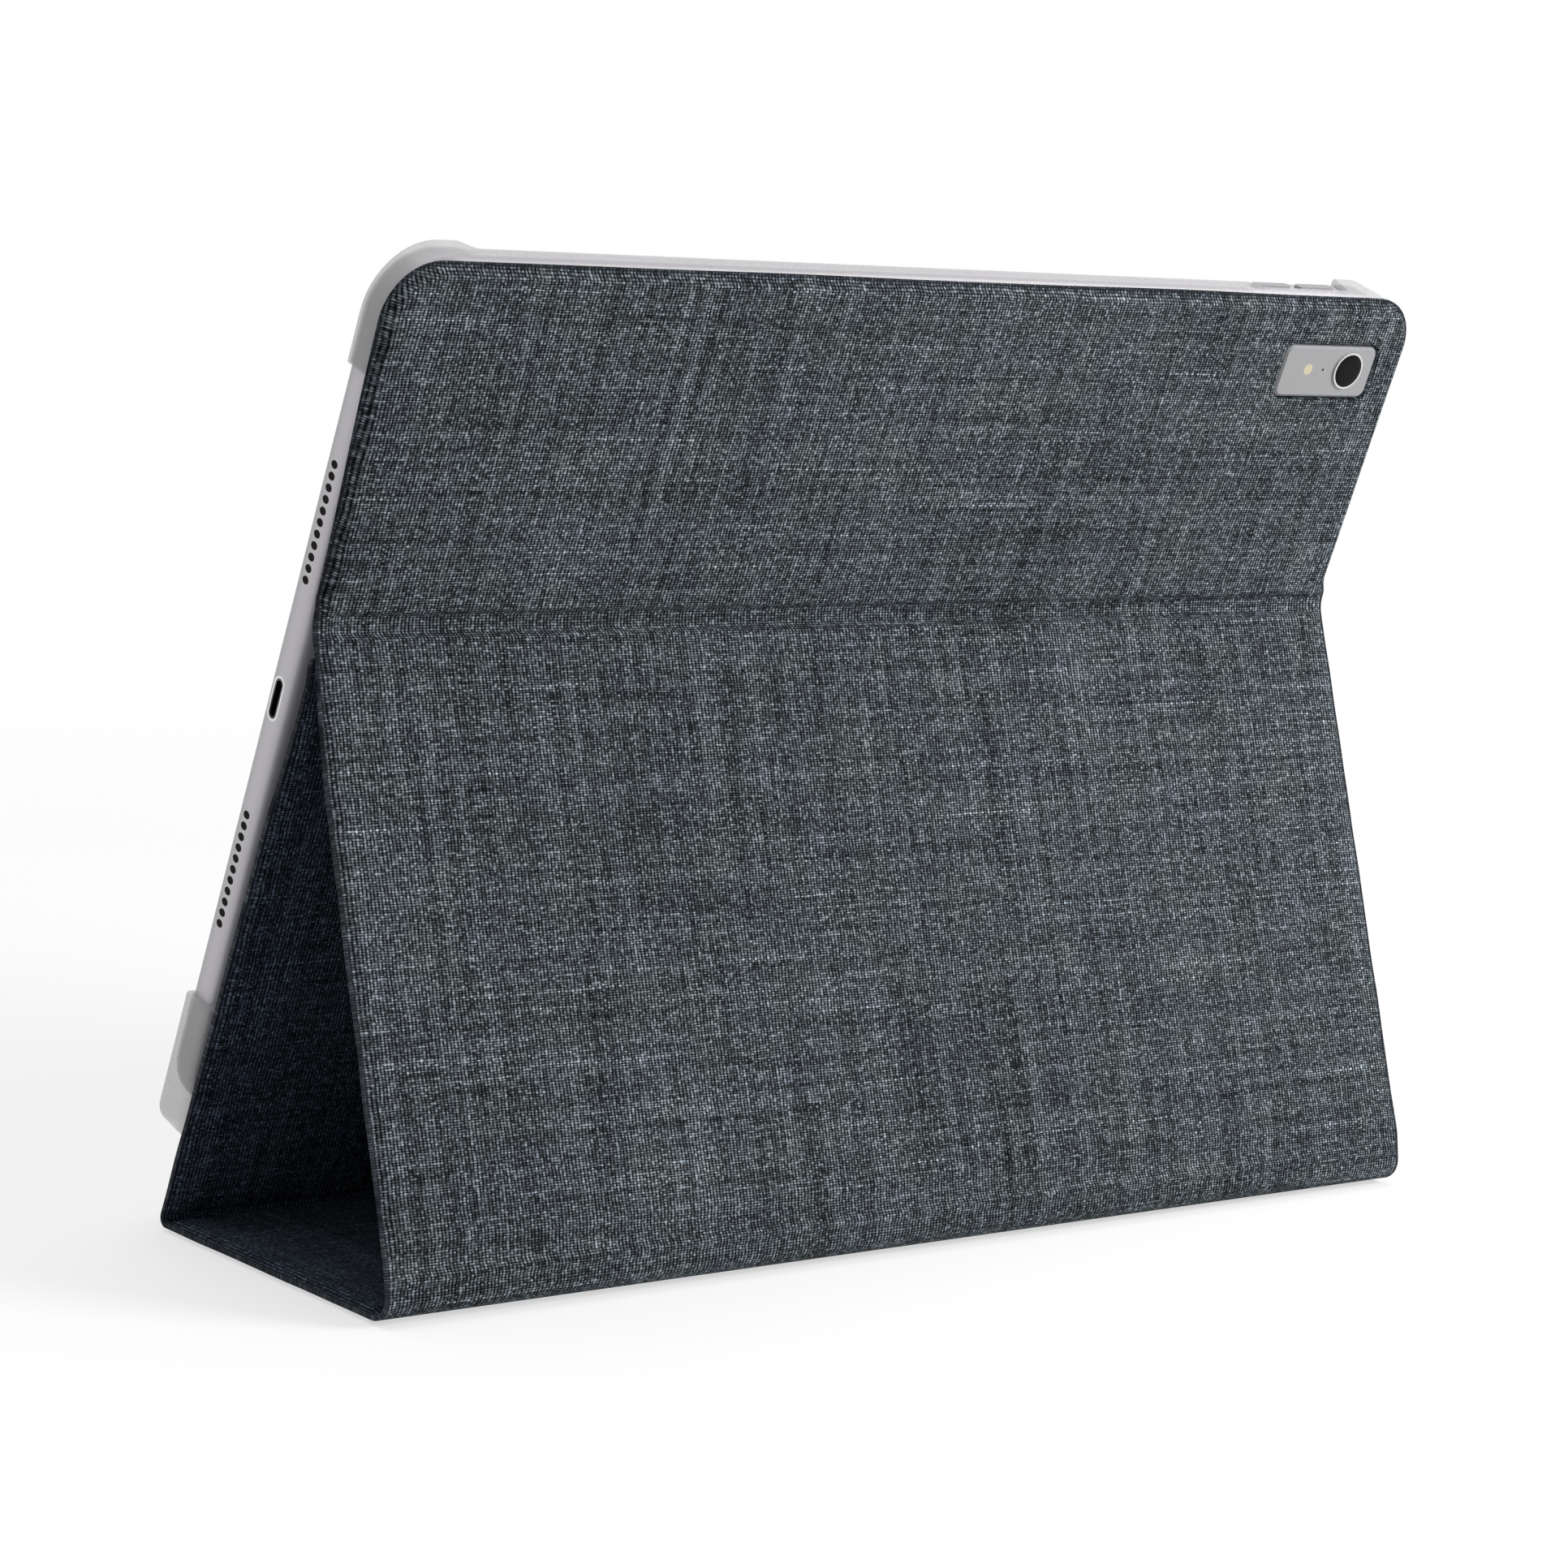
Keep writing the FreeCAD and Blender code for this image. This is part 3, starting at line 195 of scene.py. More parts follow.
def in_groove(x, s):
    """1 on the crease groove's floor, 0 outside: smooth ramps, fading at the strip's edges."""
    across = np.abs(s - sum(leg_at["crease"]) / 2) + GROOVE_WANDER * waves(3 * x, 5 * s, 2.0)
    inside = ease((half_wide - np.abs(x)) / GROOVE_FADE)
    return inside * ease((GROOVE_HALF + GROOVE_RAMP - across) / GROOVE_RAMP)


def outer_lift(x, s):
    """Cloth side: half the thin or thick stack with a faint unevenness, sunk into the groove."""
    board = over_board(x, s)
    on_shell = ease((s - leg_at["upper"][0]) / SHELL_RAMP)
    low = THIN - (THIN - HEM_ON_SHELL) * on_shell
    lift = low + (THICK - low) * board + UNEVEN * board * waves(x, s, 1.0)
    return lift + (np.minimum(lift, GROOVE_FLOOR) - lift) * in_groove(x, s)


def inner_lift(x, s):
    """Lining side: the same swell turned inward, pressed thin at the groove, flat on the shell."""
    on_shell = ease((s - leg_at["upper"][0]) / SHELL_RAMP)
    thick = np.maximum(over_board(x, s), on_shell)
    return -THIN - (THICK - THIN) * (thick + (PRESSED - thick) * in_groove(x, s))


# %% Grids and closed sheets
def spread(low, high, pitch):
    """Evenly spaced places from low to high, no further apart than pitch."""
    return np.linspace(low, high, max(2, int(np.ceil((high - low) / pitch)) + 1))


EDGE_STEPS = np.array([0, 0.2, 0.4, 0.6, 0.8, 1.05, 1.3, 1.55, 1.8, 2.05, 2.3, 3, 4.5, 7, 10])


def across_case(pitch):
    """Places along x: close together at both hems, where the swell is, and wide in the middle."""
    left = -half_wide + EDGE_STEPS
    return np.concatenate([left[:-1], spread(left[-1], -left[-1], pitch), -left[-2::-1]])


def numbers(shape, first=0):
    """Point numbers of a grid, row by row, counted from first."""
    return first + np.arange(np.prod(shape[:2])).reshape(shape[:2])


def quads_of(number):
    """Corners of every quad in a grid of point numbers, row by row."""
    quads = [number[:-1, :-1], number[:-1, 1:], number[1:, 1:], number[1:, :-1]]
    return np.stack(quads, -1).reshape(-1, 4)


def closed_sheet(outer, inner):
    """Points and quads of a sheet: outer grid, inner grid turned over, and a band between them."""
    number = numbers(outer.shape)
    top = quads_of(number)
    rim = np.concatenate([number[0], number[1:, -1], number[-1, -2::-1], number[-2:0:-1, 0]])
    ahead = np.roll(rim, -1)
    band = np.stack([ahead, rim, rim + number.size, ahead + number.size], -1)
    points = np.concatenate([outer.reshape(-1, 3), inner.reshape(-1, 3)])
    return points, np.concatenate([top, band, top[:, ::-1] + number.size]), len(top) + len(band)


def dress_mesh(piece, weave, crisp):
    """Smooth shading with edges sharper than crisp degrees kept, and the weave's UV map in mm."""
    mesh = piece.data
    if weave is not None:
        corner_of = np.empty(len(mesh.loops), int)
        mesh.loops.foreach_get("vertex_index", corner_of)
        mesh.uv_layers.new(name="weave").data.foreach_set("uv", weave[corner_of].ravel())
    mesh.shade_smooth()
    mesh.set_sharp_from_angle(angle=np.radians(crisp))
    return piece


def make_piece(name, points, faces, weave=None, rim=None, crisp=40):
    """A mesh object from arrays of points and faces, with a number called rim at each point."""
    mesh = bpy.data.meshes.new(name)
    mesh.from_pydata(np.asarray(points).tolist(), [], np.asarray(faces).tolist())
    if rim is not None:
        mesh.attributes.new("rim", "FLOAT", "POINT").data.foreach_set("value", rim.ravel())
    piece = bpy.data.objects.new(name, mesh)
    bpy.context.scene.collection.objects.link(piece)
    return dress_mesh(piece, weave, crisp)


EDGE_DARK_FROM, EDGE_DARK_FADE = 0.3, 0.5
TIP_CORNER, FRAY, FRAY_RATE, ACROSS_PITCH = 3.0, 0.16, 2.2, 6.0
PULL_IN, PULL_BELOW, PULL_ABOVE, TIP_PULL, TIP_FADE = 1.6, 30.0, 62.0, 1.1, 45.0


def edge_darkness(distance):
    """1 on a cut edge and 0 from 0.8 mm in, falling in a straight line."""
    return np.clip(1 - (distance - EDGE_DARK_FROM) / EDGE_DARK_FADE, 0, 1)


def half_width(s):
    """Half of the cloth's width: full and faintly frayed, less a sagitta at the cover's corners."""
    short = np.clip(TIP_CORNER - s, 0, TIP_CORNER)
    sagitta = TIP_CORNER - np.sqrt(TIP_CORNER ** 2 - short ** 2)
    return half_wide - sagitta + FRAY * waves(9.0, FRAY_RATE * s, 4.0)


def pulled_in(s):
    """How far the left edge is drawn in: most at the crease and at the tip, fading from there."""
    away = s - sum(leg_at["crease"]) / 2
    at_crease = ease(1 - np.maximum(away / PULL_ABOVE, -away / PULL_BELOW))
    return PULL_IN * at_crease + TIP_PULL * ease(1 - s / TIP_FADE)


def cloth_panel(name, low, high, pitch):
    """One stretch of the strip from walked length low to high, both faces closed at the edges."""
    s, x = np.meshgrid(spread(low, high, pitch), across_case(ACROSS_PITCH), indexing="ij")
    side = x * (half_width(s) - (x < 0) * pulled_in(s)) / half_wide
    outer, inner = walk(s, side, outer_lift(x, s)), walk(s, side, inner_lift(x, s))
    points, faces, turned = closed_sheet(outer, inner)
    flat = np.tile(np.stack([side, s], -1).reshape(-1, 2), (2, 1))
    free = np.minimum(half_wide - np.abs(x), s)
    rim = np.tile(edge_darkness(free).ravel(), 2)
    piece = make_piece(name, points, faces, flat, rim)
    kind = np.zeros(len(faces), int)
    kind[turned:] = 1
    piece.data.materials.append(None)
    piece.data.materials.append(None)
    piece.data.polygons.foreach_set("material_index", kind)
    return piece


# %% [markdown]
# ## Cut the strip into pieces that follow the bodies
# The real cloth is in one piece, but each board turns on its own fold. The strip is cut where it
# lies flat: a few millimetres past a fold, in the middle of the narrow spine, or where the spine's
# own fold ends. Both sides of a cut have the same height and the same direction, so it doesn't
# show. Stretches over a board ride on it, and the ones round the front, heel and crease stay
# where they are laid. The spine's fold has no joint of its own, so its cloth rides.

# %% Panels and folds
PAST_FOLD = 3.0
cut = {name: (a - PAST_FOLD, b + PAST_FOLD) for name, (a, b) in leg_at.items()}
spine_middle = sum(leg_at["spine"]) / 2
FOLD_PITCH, PANEL_PITCH, TIP_PITCH, FLAP_PITCH = 0.3, 5.0, 1.0, 1.2

cover_cloth = cloth_panel("cover_cloth", 0.0, cut["front"][0], TIP_PITCH)
front_cloth = cloth_panel("front_cloth", *cut["front"], FOLD_PITCH)
base_cloth = cloth_panel("base_cloth", cut["front"][1], cut["heel"][0], PANEL_PITCH)
heel_cloth = cloth_panel("heel_cloth", cut["heel"][0], spine_middle, FOLD_PITCH)
spine_cloth = cloth_panel("spine_cloth", spine_middle, leg_at["foot"][1], FOLD_PITCH)
flap_cloth = cloth_panel("flap_cloth", leg_at["foot"][1], cut["crease"][0], FLAP_PITCH)
crease_cloth = cloth_panel("crease_cloth", *cut["crease"], FOLD_PITCH)
strip = [cover_cloth, front_cloth, base_cloth, heel_cloth, spine_cloth, flap_cloth, crease_cloth]
print("cloth pieces:", {p.name: len(p.data.polygons) for p in strip})

# %% [markdown]
# ## The upper back
# This panel is bonded to the shell, has two round corners and a window for the camera. A plain
# grid can't have a round corner or a hole, so its swelling margin is a profile carried along the
# outline, the window's turned-in edge is a second profile carried round the window, and the flat
# between the two is filled.

# %% Outlines
def arc(middle, radius, first, last, count):
    """Points of an arc from angle first to last, in degrees."""
    a = np.radians(np.linspace(first, last, count))
    return middle + radius * np.stack([np.cos(a), np.sin(a)], -1)


def rounded_loop(half, top, foot, per_corner):
    """A rounded rectangle about (0, 0), anticlockwise: quarter arcs of radius top, then of foot."""
    corners = (((1, 1), top), ((-1, 1), top), ((-1, -1), foot), ((1, -1), foot))
    return np.concatenate([arc(np.array(sign) * (half - radius), radius, 90 * k, 90 * k + 90,
                               per_corner) for k, (sign, radius) in enumerate(corners)])


def outward(path, closed):
    """Unit normals on the right of a path: the mean direction of its two edges, turned."""
    if closed:
        along = np.roll(path, -1, 0) - np.roll(path, 1, 0)
    else:
        along = np.gradient(path, axis=0)
    normal = np.stack([along[:, 1], -along[:, 0]], -1)
    return normal / np.linalg.norm(normal, axis=1, keepdims=True)


def refine(path, pitch, closed):
    """The same path with points put in along its long edges, at most pitch apart.

    Lengths are measured on the first two columns; any more are carried along with them.
    """
    ends = np.concatenate([path, path[:1]]) if closed else path
    edges = np.linalg.norm(np.diff(ends[:, :2], axis=0), axis=1)
    along = np.concatenate([[0], np.cumsum(edges)])
    places = np.unique(np.concatenate([spread(a, b, pitch) for a, b in zip(along, along[1:])]))
    places = places[np.concatenate([[True], np.diff(places) > 1e-6])]
    out = np.stack([np.interp(places, along, column) for column in ends.T], -1)
    return out[:-1] if closed else out


def carry(path, normal, inset, height):
    """A profile carried along a path: each point moves inset along minus the normal, at height."""
    flat = path[None] - normal[None] * np.asarray(inset)[..., None]
    return np.concatenate([flat, np.broadcast_to(height, flat.shape[:2])[..., None]], -1)


def strip_faces(shape, closed, first=0):
    """Quads of a grid, numbered from first; if closed, its last column is joined to its first."""
    return quads_of(np.pad(numbers(shape, first), ((0, 0), (0, int(closed))), "wrap"))


def on_tray(local):
    """From the upper back's own x, y along it and z out of it, in mm, to the row frame in m."""
    c, s = np.cos(upper_slope), np.sin(upper_slope)
    y = crease[0] + local[..., 1] * c - local[..., 2] * s
    z = crease[1] + local[..., 1] * s + local[..., 2] * c
    return np.stack([local[..., 0], y, z], -1) * MM


# %% Upper back and its window
CORNER, CORNER_STEPS, EDGE_PITCH, BACK_FACE = 11.0, 15, 4.0, -1.1
WINDOW_HALF, WINDOW_CORNER, WINDOW_STEPS = np.array([13.55, 5.9]), 2.4, 7
PANE_PITCH, TURN_IN, SILL, MARGIN = 3.0, 0.5, 2.0, 5.5
UPPER_FRAY, UPPER_FRAY_RATE = 0.14, 2.4
CUT_INSET = [0, 0, 0.08, 0.18, 0.3]
CUT_HEIGHT = [BACK_FACE, -0.7, HEM_ON_SHELL, HEM_ON_SHELL, HEM_ON_SHELL]
window_at = np.array([105.5, 52.5])

low = CREASE_GAP + PAST_FOLD
shoulder = np.array([half_wide - CORNER, UPPER_LEN - CORNER])
edge = np.concatenate([[[half_wide, low]], arc(shoulder, CORNER, 0, 90, CORNER_STEPS),
                       arc(shoulder * [-1, 1], CORNER, 90, 180, CORNER_STEPS),
                       [[-half_wide, low]]])
edge = refine(edge, EDGE_PITCH, False)
edge[:, 0] += (edge[:, 0] < 0) * pulled_in(edge[:, 1] + leg_at["upper"][0] - CREASE_GAP)
edge_normal = outward(edge, False)
swell = np.linspace(0, 1, 9)
swell_height = HEM_ON_SHELL + (THICK - HEM_ON_SHELL) * ease(swell)
margin_inset = np.concatenate([CUT_INSET, SIDE_HEM + SIDE_RAMP * swell, [MARGIN]])
margin_height = np.concatenate([CUT_HEIGHT, swell_height, [THICK]])
wobble = UPPER_FRAY * waves(0.0, UPPER_FRAY_RATE * np.arange(len(edge)), 6.0)
wobble = wobble * (margin_inset[:, None] < 1)
margin = carry(edge, edge_normal, margin_inset[:, None] + wobble, margin_height[:, None])

pane = window_at + rounded_loop(WINDOW_HALF, WINDOW_CORNER, WINDOW_CORNER, WINDOW_STEPS)
pane = refine(pane, PANE_PITCH, True)
turned = np.radians(np.linspace(0, 90, 5))
pane_inset = -np.concatenate([[0], TURN_IN * (1 - np.cos(turned)), [SILL]])
pane_height = np.concatenate([[BACK_FACE], THICK - TURN_IN + TURN_IN * np.sin(turned), [THICK]])
sill = carry(pane, outward(pane, True), pane_inset[:, None], pane_height[:, None])[:, ::-1]
print("upper back: margin", margin.shape, "window", sill.shape)


# %% Join the bands and fill the flats
@contextmanager
def edit_form(piece):
    """A piece's mesh in edit form. When the work on it is done, its faces are turned outward."""
    edit = bmesh.new()
    edit.from_mesh(piece.data)
    yield edit
    bmesh.ops.recalc_face_normals(edit, faces=edit.faces)
    edit.to_mesh(piece.data)
    edit.free()


def fill_between(edit, loops):
    """Fills the flat region between closed loops of vertices, holes kept, with triangles."""
    edges = []
    for loop in loops:
        for a, b in zip(loop, np.roll(loop, -1)):
            pair = (edit.verts[int(a)], edit.verts[int(b)])
            edges.append(edit.edges.get(pair) or edit.edges.new(pair))
    bmesh.ops.triangle_fill(edit, edges=edges, use_beauty=True)


def band_piece(name, bands, closed, flats, weave=None, rim=None, crisp=40):
    """One closed piece: bands of quads, then flats filled between the loops that are named."""
    points = np.concatenate([b.reshape(-1, 3) for b in bands])
    firsts = np.cumsum([0] + [b.shape[0] * b.shape[1] for b in bands])
    faces = np.concatenate([strip_faces(b.shape, c, f)
                            for b, c, f in zip(bands, closed, firsts)])
    piece = make_piece(name, on_tray(points), faces, rim=rim)
    with edit_form(piece) as edit:
        edit.verts.ensure_lookup_table()
        for loops in flats:
            fill_between(edit, loops)
    return dress_mesh(piece, weave, crisp)


grid = numbers(margin.shape)
hole = numbers(sill.shape, grid.size)
end_cap = np.concatenate([grid[:, 0], grid[::-1, -1]])
everything = np.concatenate([margin.reshape(-1, 3), sill.reshape(-1, 3)])
upper_flat = everything[:, :2] + [0, leg_at["upper"][0] - CREASE_GAP]
from_edge = np.concatenate([np.repeat(margin_inset, len(edge)), np.full(hole.size, MARGIN)])
upper_rim = edge_darkness(from_edge)
upper_cloth = band_piece("upper_cloth", [margin, sill], [False, True],
                         [[grid[-1], hole[-1]], [grid[0], hole[0]], [end_cap]],
                         upper_flat, upper_rim)
print("upper_cloth:", len(upper_cloth.data.polygons), "faces")

# %% [markdown]
# ## The clear shell
# The shell is injection moulded: a thin back, a rounded back edge, low walls, and at each corner
# a taller wall whose lip clips over the glass. It could be a box with bevels and booleans, but a
# moulded rim has one profile that only changes height, so the profile is carried round the
# outline and its height is a smooth function of where it is.

# %% Height of the rim round the shell
SHELL_HALF, TOP_CORNER, FOOT_CORNER = np.array([126.65, 87.225]), 13.35, 5.0
SEAT_HALF, SEAT_CORNER = np.array([125.45, 84.9]), 12.15
SHELL_MIDDLE, SEAT_MIDDLE = np.array([0, -18.275]), np.array([0, -17.15])
WALL, BACK_ROUND, RIM_PITCH = 1.2, 1.8, 0.6
CUT_FRONT, WALL_FRONT, LIP_FRONT = 2.45, 5.65, 9.15
UPPER_LEG, LOWER_LEG, ARM_END, RAMP, LEG_RAMP = 45.6, -77.4, 108.65, 2.5, 0.9
BUTTON_MIDDLE, BUTTON_HALF = 95.4, 13.0
HOOK, END_INSET, THINNER = 0.95, 4.5, 0.65
PER_CORNER, PAIR_UP, PAIR_IN = 14, -85.0, 105.0


def paired(middle, half, top, foot):
    """A rounded loop with four marks above and beside its foot corners, which pair two loops up."""
    loop = middle + rounded_loop(half, top, foot, PER_CORNER)
    (right, _), (_, low) = middle + half, middle - half
    marks = [[-right, PAIR_UP], [-PAIR_IN, low], [PAIR_IN, low], [right, PAIR_UP]]
    return np.insert(loop, np.array([2, 3, 3, 4]) * PER_CORNER, marks, axis=0)


both = np.concatenate([paired(SHELL_MIDDLE, SHELL_HALF, TOP_CORNER, FOOT_CORNER),
                       paired(SEAT_MIDDLE, SEAT_HALF, SEAT_CORNER, SEAT_CORNER)], 1)
both = refine(both, RIM_PITCH, True)
rim_path, seat_path = both[:, :2], both[:, 2:]
rim_x, rim_y = rim_path.T
on_end = np.abs(rim_x) > SHELL_HALF[0] - TOP_CORNER / 2
on_leg = np.maximum(ease((rim_y - UPPER_LEG) / LEG_RAMP + 0.5),
                    ease((LOWER_LEG - rim_y) / LEG_RAMP + 0.5))
on_arm = ease((np.abs(rim_x) - ARM_END) / RAMP + 0.5)
at_buttons = (rim_y > 0) * ease((BUTTON_HALF - np.abs(rim_x - BUTTON_MIDDLE)) / RAMP + 0.5)
wall = WALL_FRONT + (LIP_FRONT - WALL_FRONT) * on_arm
front = np.where(on_end, CUT_FRONT + (LIP_FRONT - CUT_FRONT) * on_leg,
                 wall + (CUT_FRONT - wall) * at_buttons)
hook = HOOK * ease((front - WALL_FRONT) / (LIP_FRONT - WALL_FRONT))
print("shell rim:", len(rim_path), "places, front from", front.min(), "to", front.max())

# %% Carry the rim's profile
quarter = np.radians(np.linspace(0, 90, 8))
LIP_ROUND, LIP_START, BACK_LEDGE = 0.7, 2.0, 6.0
HOOK_THICK, HOOK_NOSE, HOOK_TAPER, CUT_STEP = 0.6, 0.35, 0.9, 0.15
HOLE_MARGIN, HOLE_STEPS = 0.6, 6
back_inset = np.concatenate([[BACK_LEDGE], BACK_ROUND * (1 - np.sin(quarter))])[:, None]
back_depth = np.concatenate([[0], BACK_ROUND * (1 - np.cos(quarter))])[:, None] - BACK_FACE
lip_inset = np.concatenate([[0], LIP_ROUND * (1 - np.cos(quarter))])[:, None]
lip_depth = np.concatenate([[LIP_START], LIP_ROUND * (1 - np.sin(quarter))])[:, None]
outer_depth = np.concatenate([np.minimum(back_depth, front),
                              np.maximum(front - lip_depth, np.minimum(back_depth[-1], front))])
outer_rim = carry(rim_path, outward(rim_path, True), np.concatenate([back_inset, lip_inset]),
                  -outer_depth)
hook_floor = np.maximum(front - HOOK_THICK, CUT_FRONT - CUT_STEP)
floor_depth = np.full_like(front, WALL - BACK_FACE)
level = np.zeros_like(hook)
inner_inset = np.stack([hook, hook, HOOK_TAPER * hook, level, level, level + BACK_LEDGE - WALL])
inner_depth = np.stack([front, front - HOOK_NOSE * (front - hook_floor), hook_floor, hook_floor,
                        floor_depth, floor_depth])
inner_rim = carry(seat_path, outward(seat_path, True), inner_inset, -inner_depth)
near_end = ease((np.abs(rim_x) - SHELL_HALF[0] + TOP_CORNER) / TOP_CORNER)
outer_rim[..., 0] -= np.sign(rim_x) * THINNER * near_end * (rim_y > 0)
shell_rim = np.concatenate([outer_rim, inner_rim])
shell_rim[..., 0] -= np.sign(rim_x) * END_INSET * on_end * (1 - on_leg)
hole_corner = WINDOW_CORNER + HOLE_MARGIN
hole_path = window_at + rounded_loop(WINDOW_HALF + HOLE_MARGIN, hole_corner, hole_corner,
                                     HOLE_STEPS)
hole_wall = carry(hole_path, outward(hole_path, True), np.zeros((2, 1)),
                  np.array([[BACK_FACE], [BACK_FACE - WALL]]))
ring = numbers(shell_rim.shape)
hole_ring = numbers(hole_wall.shape, ring.size)
shell = band_piece("shell", [shell_rim, hole_wall], [True, True],
                   [[ring[0], hole_ring[0]], [ring[-1], hole_ring[1]]], crisp=50)
print("shell:", len(shell.data.polygons), "faces")

# %% [markdown]
# ## The port's rim, the speaker holes and the lens
# The port has a polished bevelled rim, the drilled holes open a little where the side is rounded,
# and the lens has a domed glass. All are small turned profiles: one is carried round a slot, one
# round ovals and one round a circle.

# %% Rim and holes on the tablet's ends, and the lens
TABLET_END, TABLET_MIDDLE, SIDE_MIDDLE = 125.3, -17.15, -6.05
SLOT_STRAIGHT, SLOT_SHARP, RIM_ROUND = 2.65, 9, 1.65
HOLE_ALONG, HOLE_ACROSS, HOLE_PITCH, HOLE_COUNT, ROW_AT = 0.78, 1.0, 2.2, 11, 34.1
LENS_AT, LENS_RADIUS, LENS_BASE = np.array([111.3, 53.0]), 3.52, 1.2
SAME_POINT = 0.0001 * MM


def on_end_face(side, along, across, out):
    """Local tray points on an end face: along the tablet's height, across its edge, out of it."""
    x, y, z = np.broadcast_arrays(side * (TABLET_END + out), TABLET_MIDDLE + along,
                                  SIDE_MIDDLE + across)
    return np.stack([x, y, z], -1)


def tube_piece(name, rings):
    """A closed piece from a grid of points whose rows and columns both join up with their first."""
    number = np.pad(numbers(rings.shape), (0, 1), "wrap")
    return make_piece(name, on_tray(rings).reshape(-1, 3), quads_of(number))


around = np.radians(np.linspace(0, 360, 49)[:-1])
# The bevel, from the outer edge over the crest to the slot: out of the face, and from the outline.
rim_out = np.array([-0.1, 0.0, 0.04, 0.05, 0.02, -0.15, -0.15])[:, None]
rim_at = RIM_ROUND + np.array([0.0, 0.0, -0.1, -0.25, -0.4, -0.75, -0.5])[:, None]
slot_along = SLOT_STRAIGHT * np.tanh(SLOT_SHARP * np.cos(around))
port_rim = tube_piece("port_rim", on_end_face(-1, slot_along + rim_at * np.cos(around),
                                              rim_at * np.sin(around), rim_out))

row_places = (np.arange(HOLE_COUNT) - (HOLE_COUNT - 1) / 2) * HOLE_PITCH
cups = [(end, middle + place) for end in (-1, 1) for middle in (-ROW_AT, ROW_AT)
        for place in row_places]
ends, places = np.array(cups).T[..., None, None]
# A shallow cup, from its floor's middle over the edge to its mouth's middle: size and height.
cup_size = np.array([0.0, 1.0, 0.95, 0.0])[:, None]
cup_out = np.array([-0.05, -0.05, 0.02, 0.02])[:, None]
oval = around[::2] * ends
cup_points = on_end_face(ends, places + cup_size * HOLE_ALONG * np.cos(oval),
                         cup_size * HOLE_ACROSS * np.sin(oval), cup_out)
cup_faces = np.concatenate([strip_faces(cup.shape, True, k * cup.size // 3)
                            for k, cup in enumerate(cup_points)])
speaker_holes = make_piece("speaker_holes", on_tray(cup_points).reshape(-1, 3), cup_faces)

# The dome, from the middle of its flat back over the edge to its crown: size and height.
dome_size = LENS_RADIUS * np.array([0.0, 1.0, 1.0, 0.97, 0.7, 0.4, 0.0])[:, None]
dome_out = LENS_BASE + np.array([0.0, 0.0, 0.12, 0.16, 0.21, 0.24, 0.25])[:, None]
dome = np.stack(np.broadcast_arrays(LENS_AT[0] + dome_size * np.cos(around),
                                    LENS_AT[1] + dome_size * np.sin(around), dome_out), -1)
lens_dome = make_piece("lens_dome", on_tray(dome).reshape(-1, 3),
                       strip_faces(dome.shape, True))
for piece in (port_rim, speaker_holes, lens_dome):
    with edit_form(piece) as edit:
        bmesh.ops.remove_doubles(edit, verts=edit.verts, dist=SAME_POINT)
print("port rim, lens dome and", len(cups), "speaker holes")

# %% [markdown]
# ## Finishes
# A finish is a small network of nodes. Writing every link by hand hides the recipe, so a helper
# makes a node, sets it and links its inputs in one call, and sums are written as sums.

# %% A helper for node recipes
class Finish:
    """One material being mixed. add() makes a node; its inputs take numbers or other sockets."""

    def __init__(self, name):
        self.material = bpy.data.materials.new(name)
        self.material.use_nodes = True
        self.tree = self.material.node_tree
        self.tree.nodes.clear()

    def add(self, kind, inputs=(), **settings):
        """A node of a kind, with its settings and its inputs, by name or number."""
        node = self.tree.nodes.new("ShaderNode" + kind)
        for key, value in settings.items():
            setattr(node, key, value)
        for key, value in dict(inputs).items():
            if isinstance(value, bpy.types.NodeSocket):
                self.tree.links.new(value, node.inputs[key])
            else:
                node.inputs[key].default_value = value
        return node

    def sum(self, operation, *values):
        """The result of one operation on numbers or sockets."""
        return self.add("Math", enumerate(values), operation=operation).outputs[0]

    def mix(self, share, a, b):
        """Colour a where the share is 0 and b where it is 1."""
        return self.add("Mix", {0: share, 6: a, 7: b}, data_type="RGBA").outputs[2]

    def noise(self, vector, scale, detail=2.0):
        """Smooth noise from 0 to 1."""
        return self.add("TexNoise", {"Vector": vector, "Scale": scale, "Detail": detail}).outputs[0]

    def place(self):
        """The point on the object, in metres."""
        return self.add("TexCoord").outputs["Object"]

    def bump(self, height, distance, strength, **more):
        """A normal that leans with the height, times the distance in metres."""
        return self.add("Bump", {"Height": height, "Distance": distance, "Strength": strength,
                                 **more}).outputs[0]

    def surface(self, **inputs):
        """The shader and the output; input names have underscores for spaces."""
        named = {key.replace("_", " "): value for key, value in inputs.items()}
        shader = self.add("BsdfPrincipled", named)
        self.add("OutputMaterial", {"Surface": shader.outputs[0]})
        return self.material


# %% [markdown]
# ### Charcoal melange weave
# The cloth is a plain weave of melange yarn: dark and pale fibre spun together, so every thread
# changes tone along its length, and pale slubs run both ways. Seen close, each crossing is a
# small rounded dot; the dark gaps between the threads are painted shade, the dot's roundness
# multiplied into the colour. The recipe counts threads from the weave's own map, asks which
# thread is on top, and gives each thread its own slow noise. A photograph of cloth as a texture
# would repeat, and would not follow the folds.

# %% Tone of the yarn
NEXT_THREAD, ALONG_THREAD, NEXT_SLUB, ALONG_SLUB = 7.31, 0.022, 5.17, 0.02
NEXT_BAND, ALONG_WARP, NEXT_ROW, ALONG_WEFT, FIBRE_RATE = 0.4, 0.012, 0.45, 0.010, 2.6
YARN_REACH, SLUB_FROM, SLUB_REACH, DARKEST = 1.7, 0.09, 7.5, 0.12
WARP_BAND, WEFT_BAND, FIBRE, SPECKLE = 0.9, 0.7, 0.8, 0.9


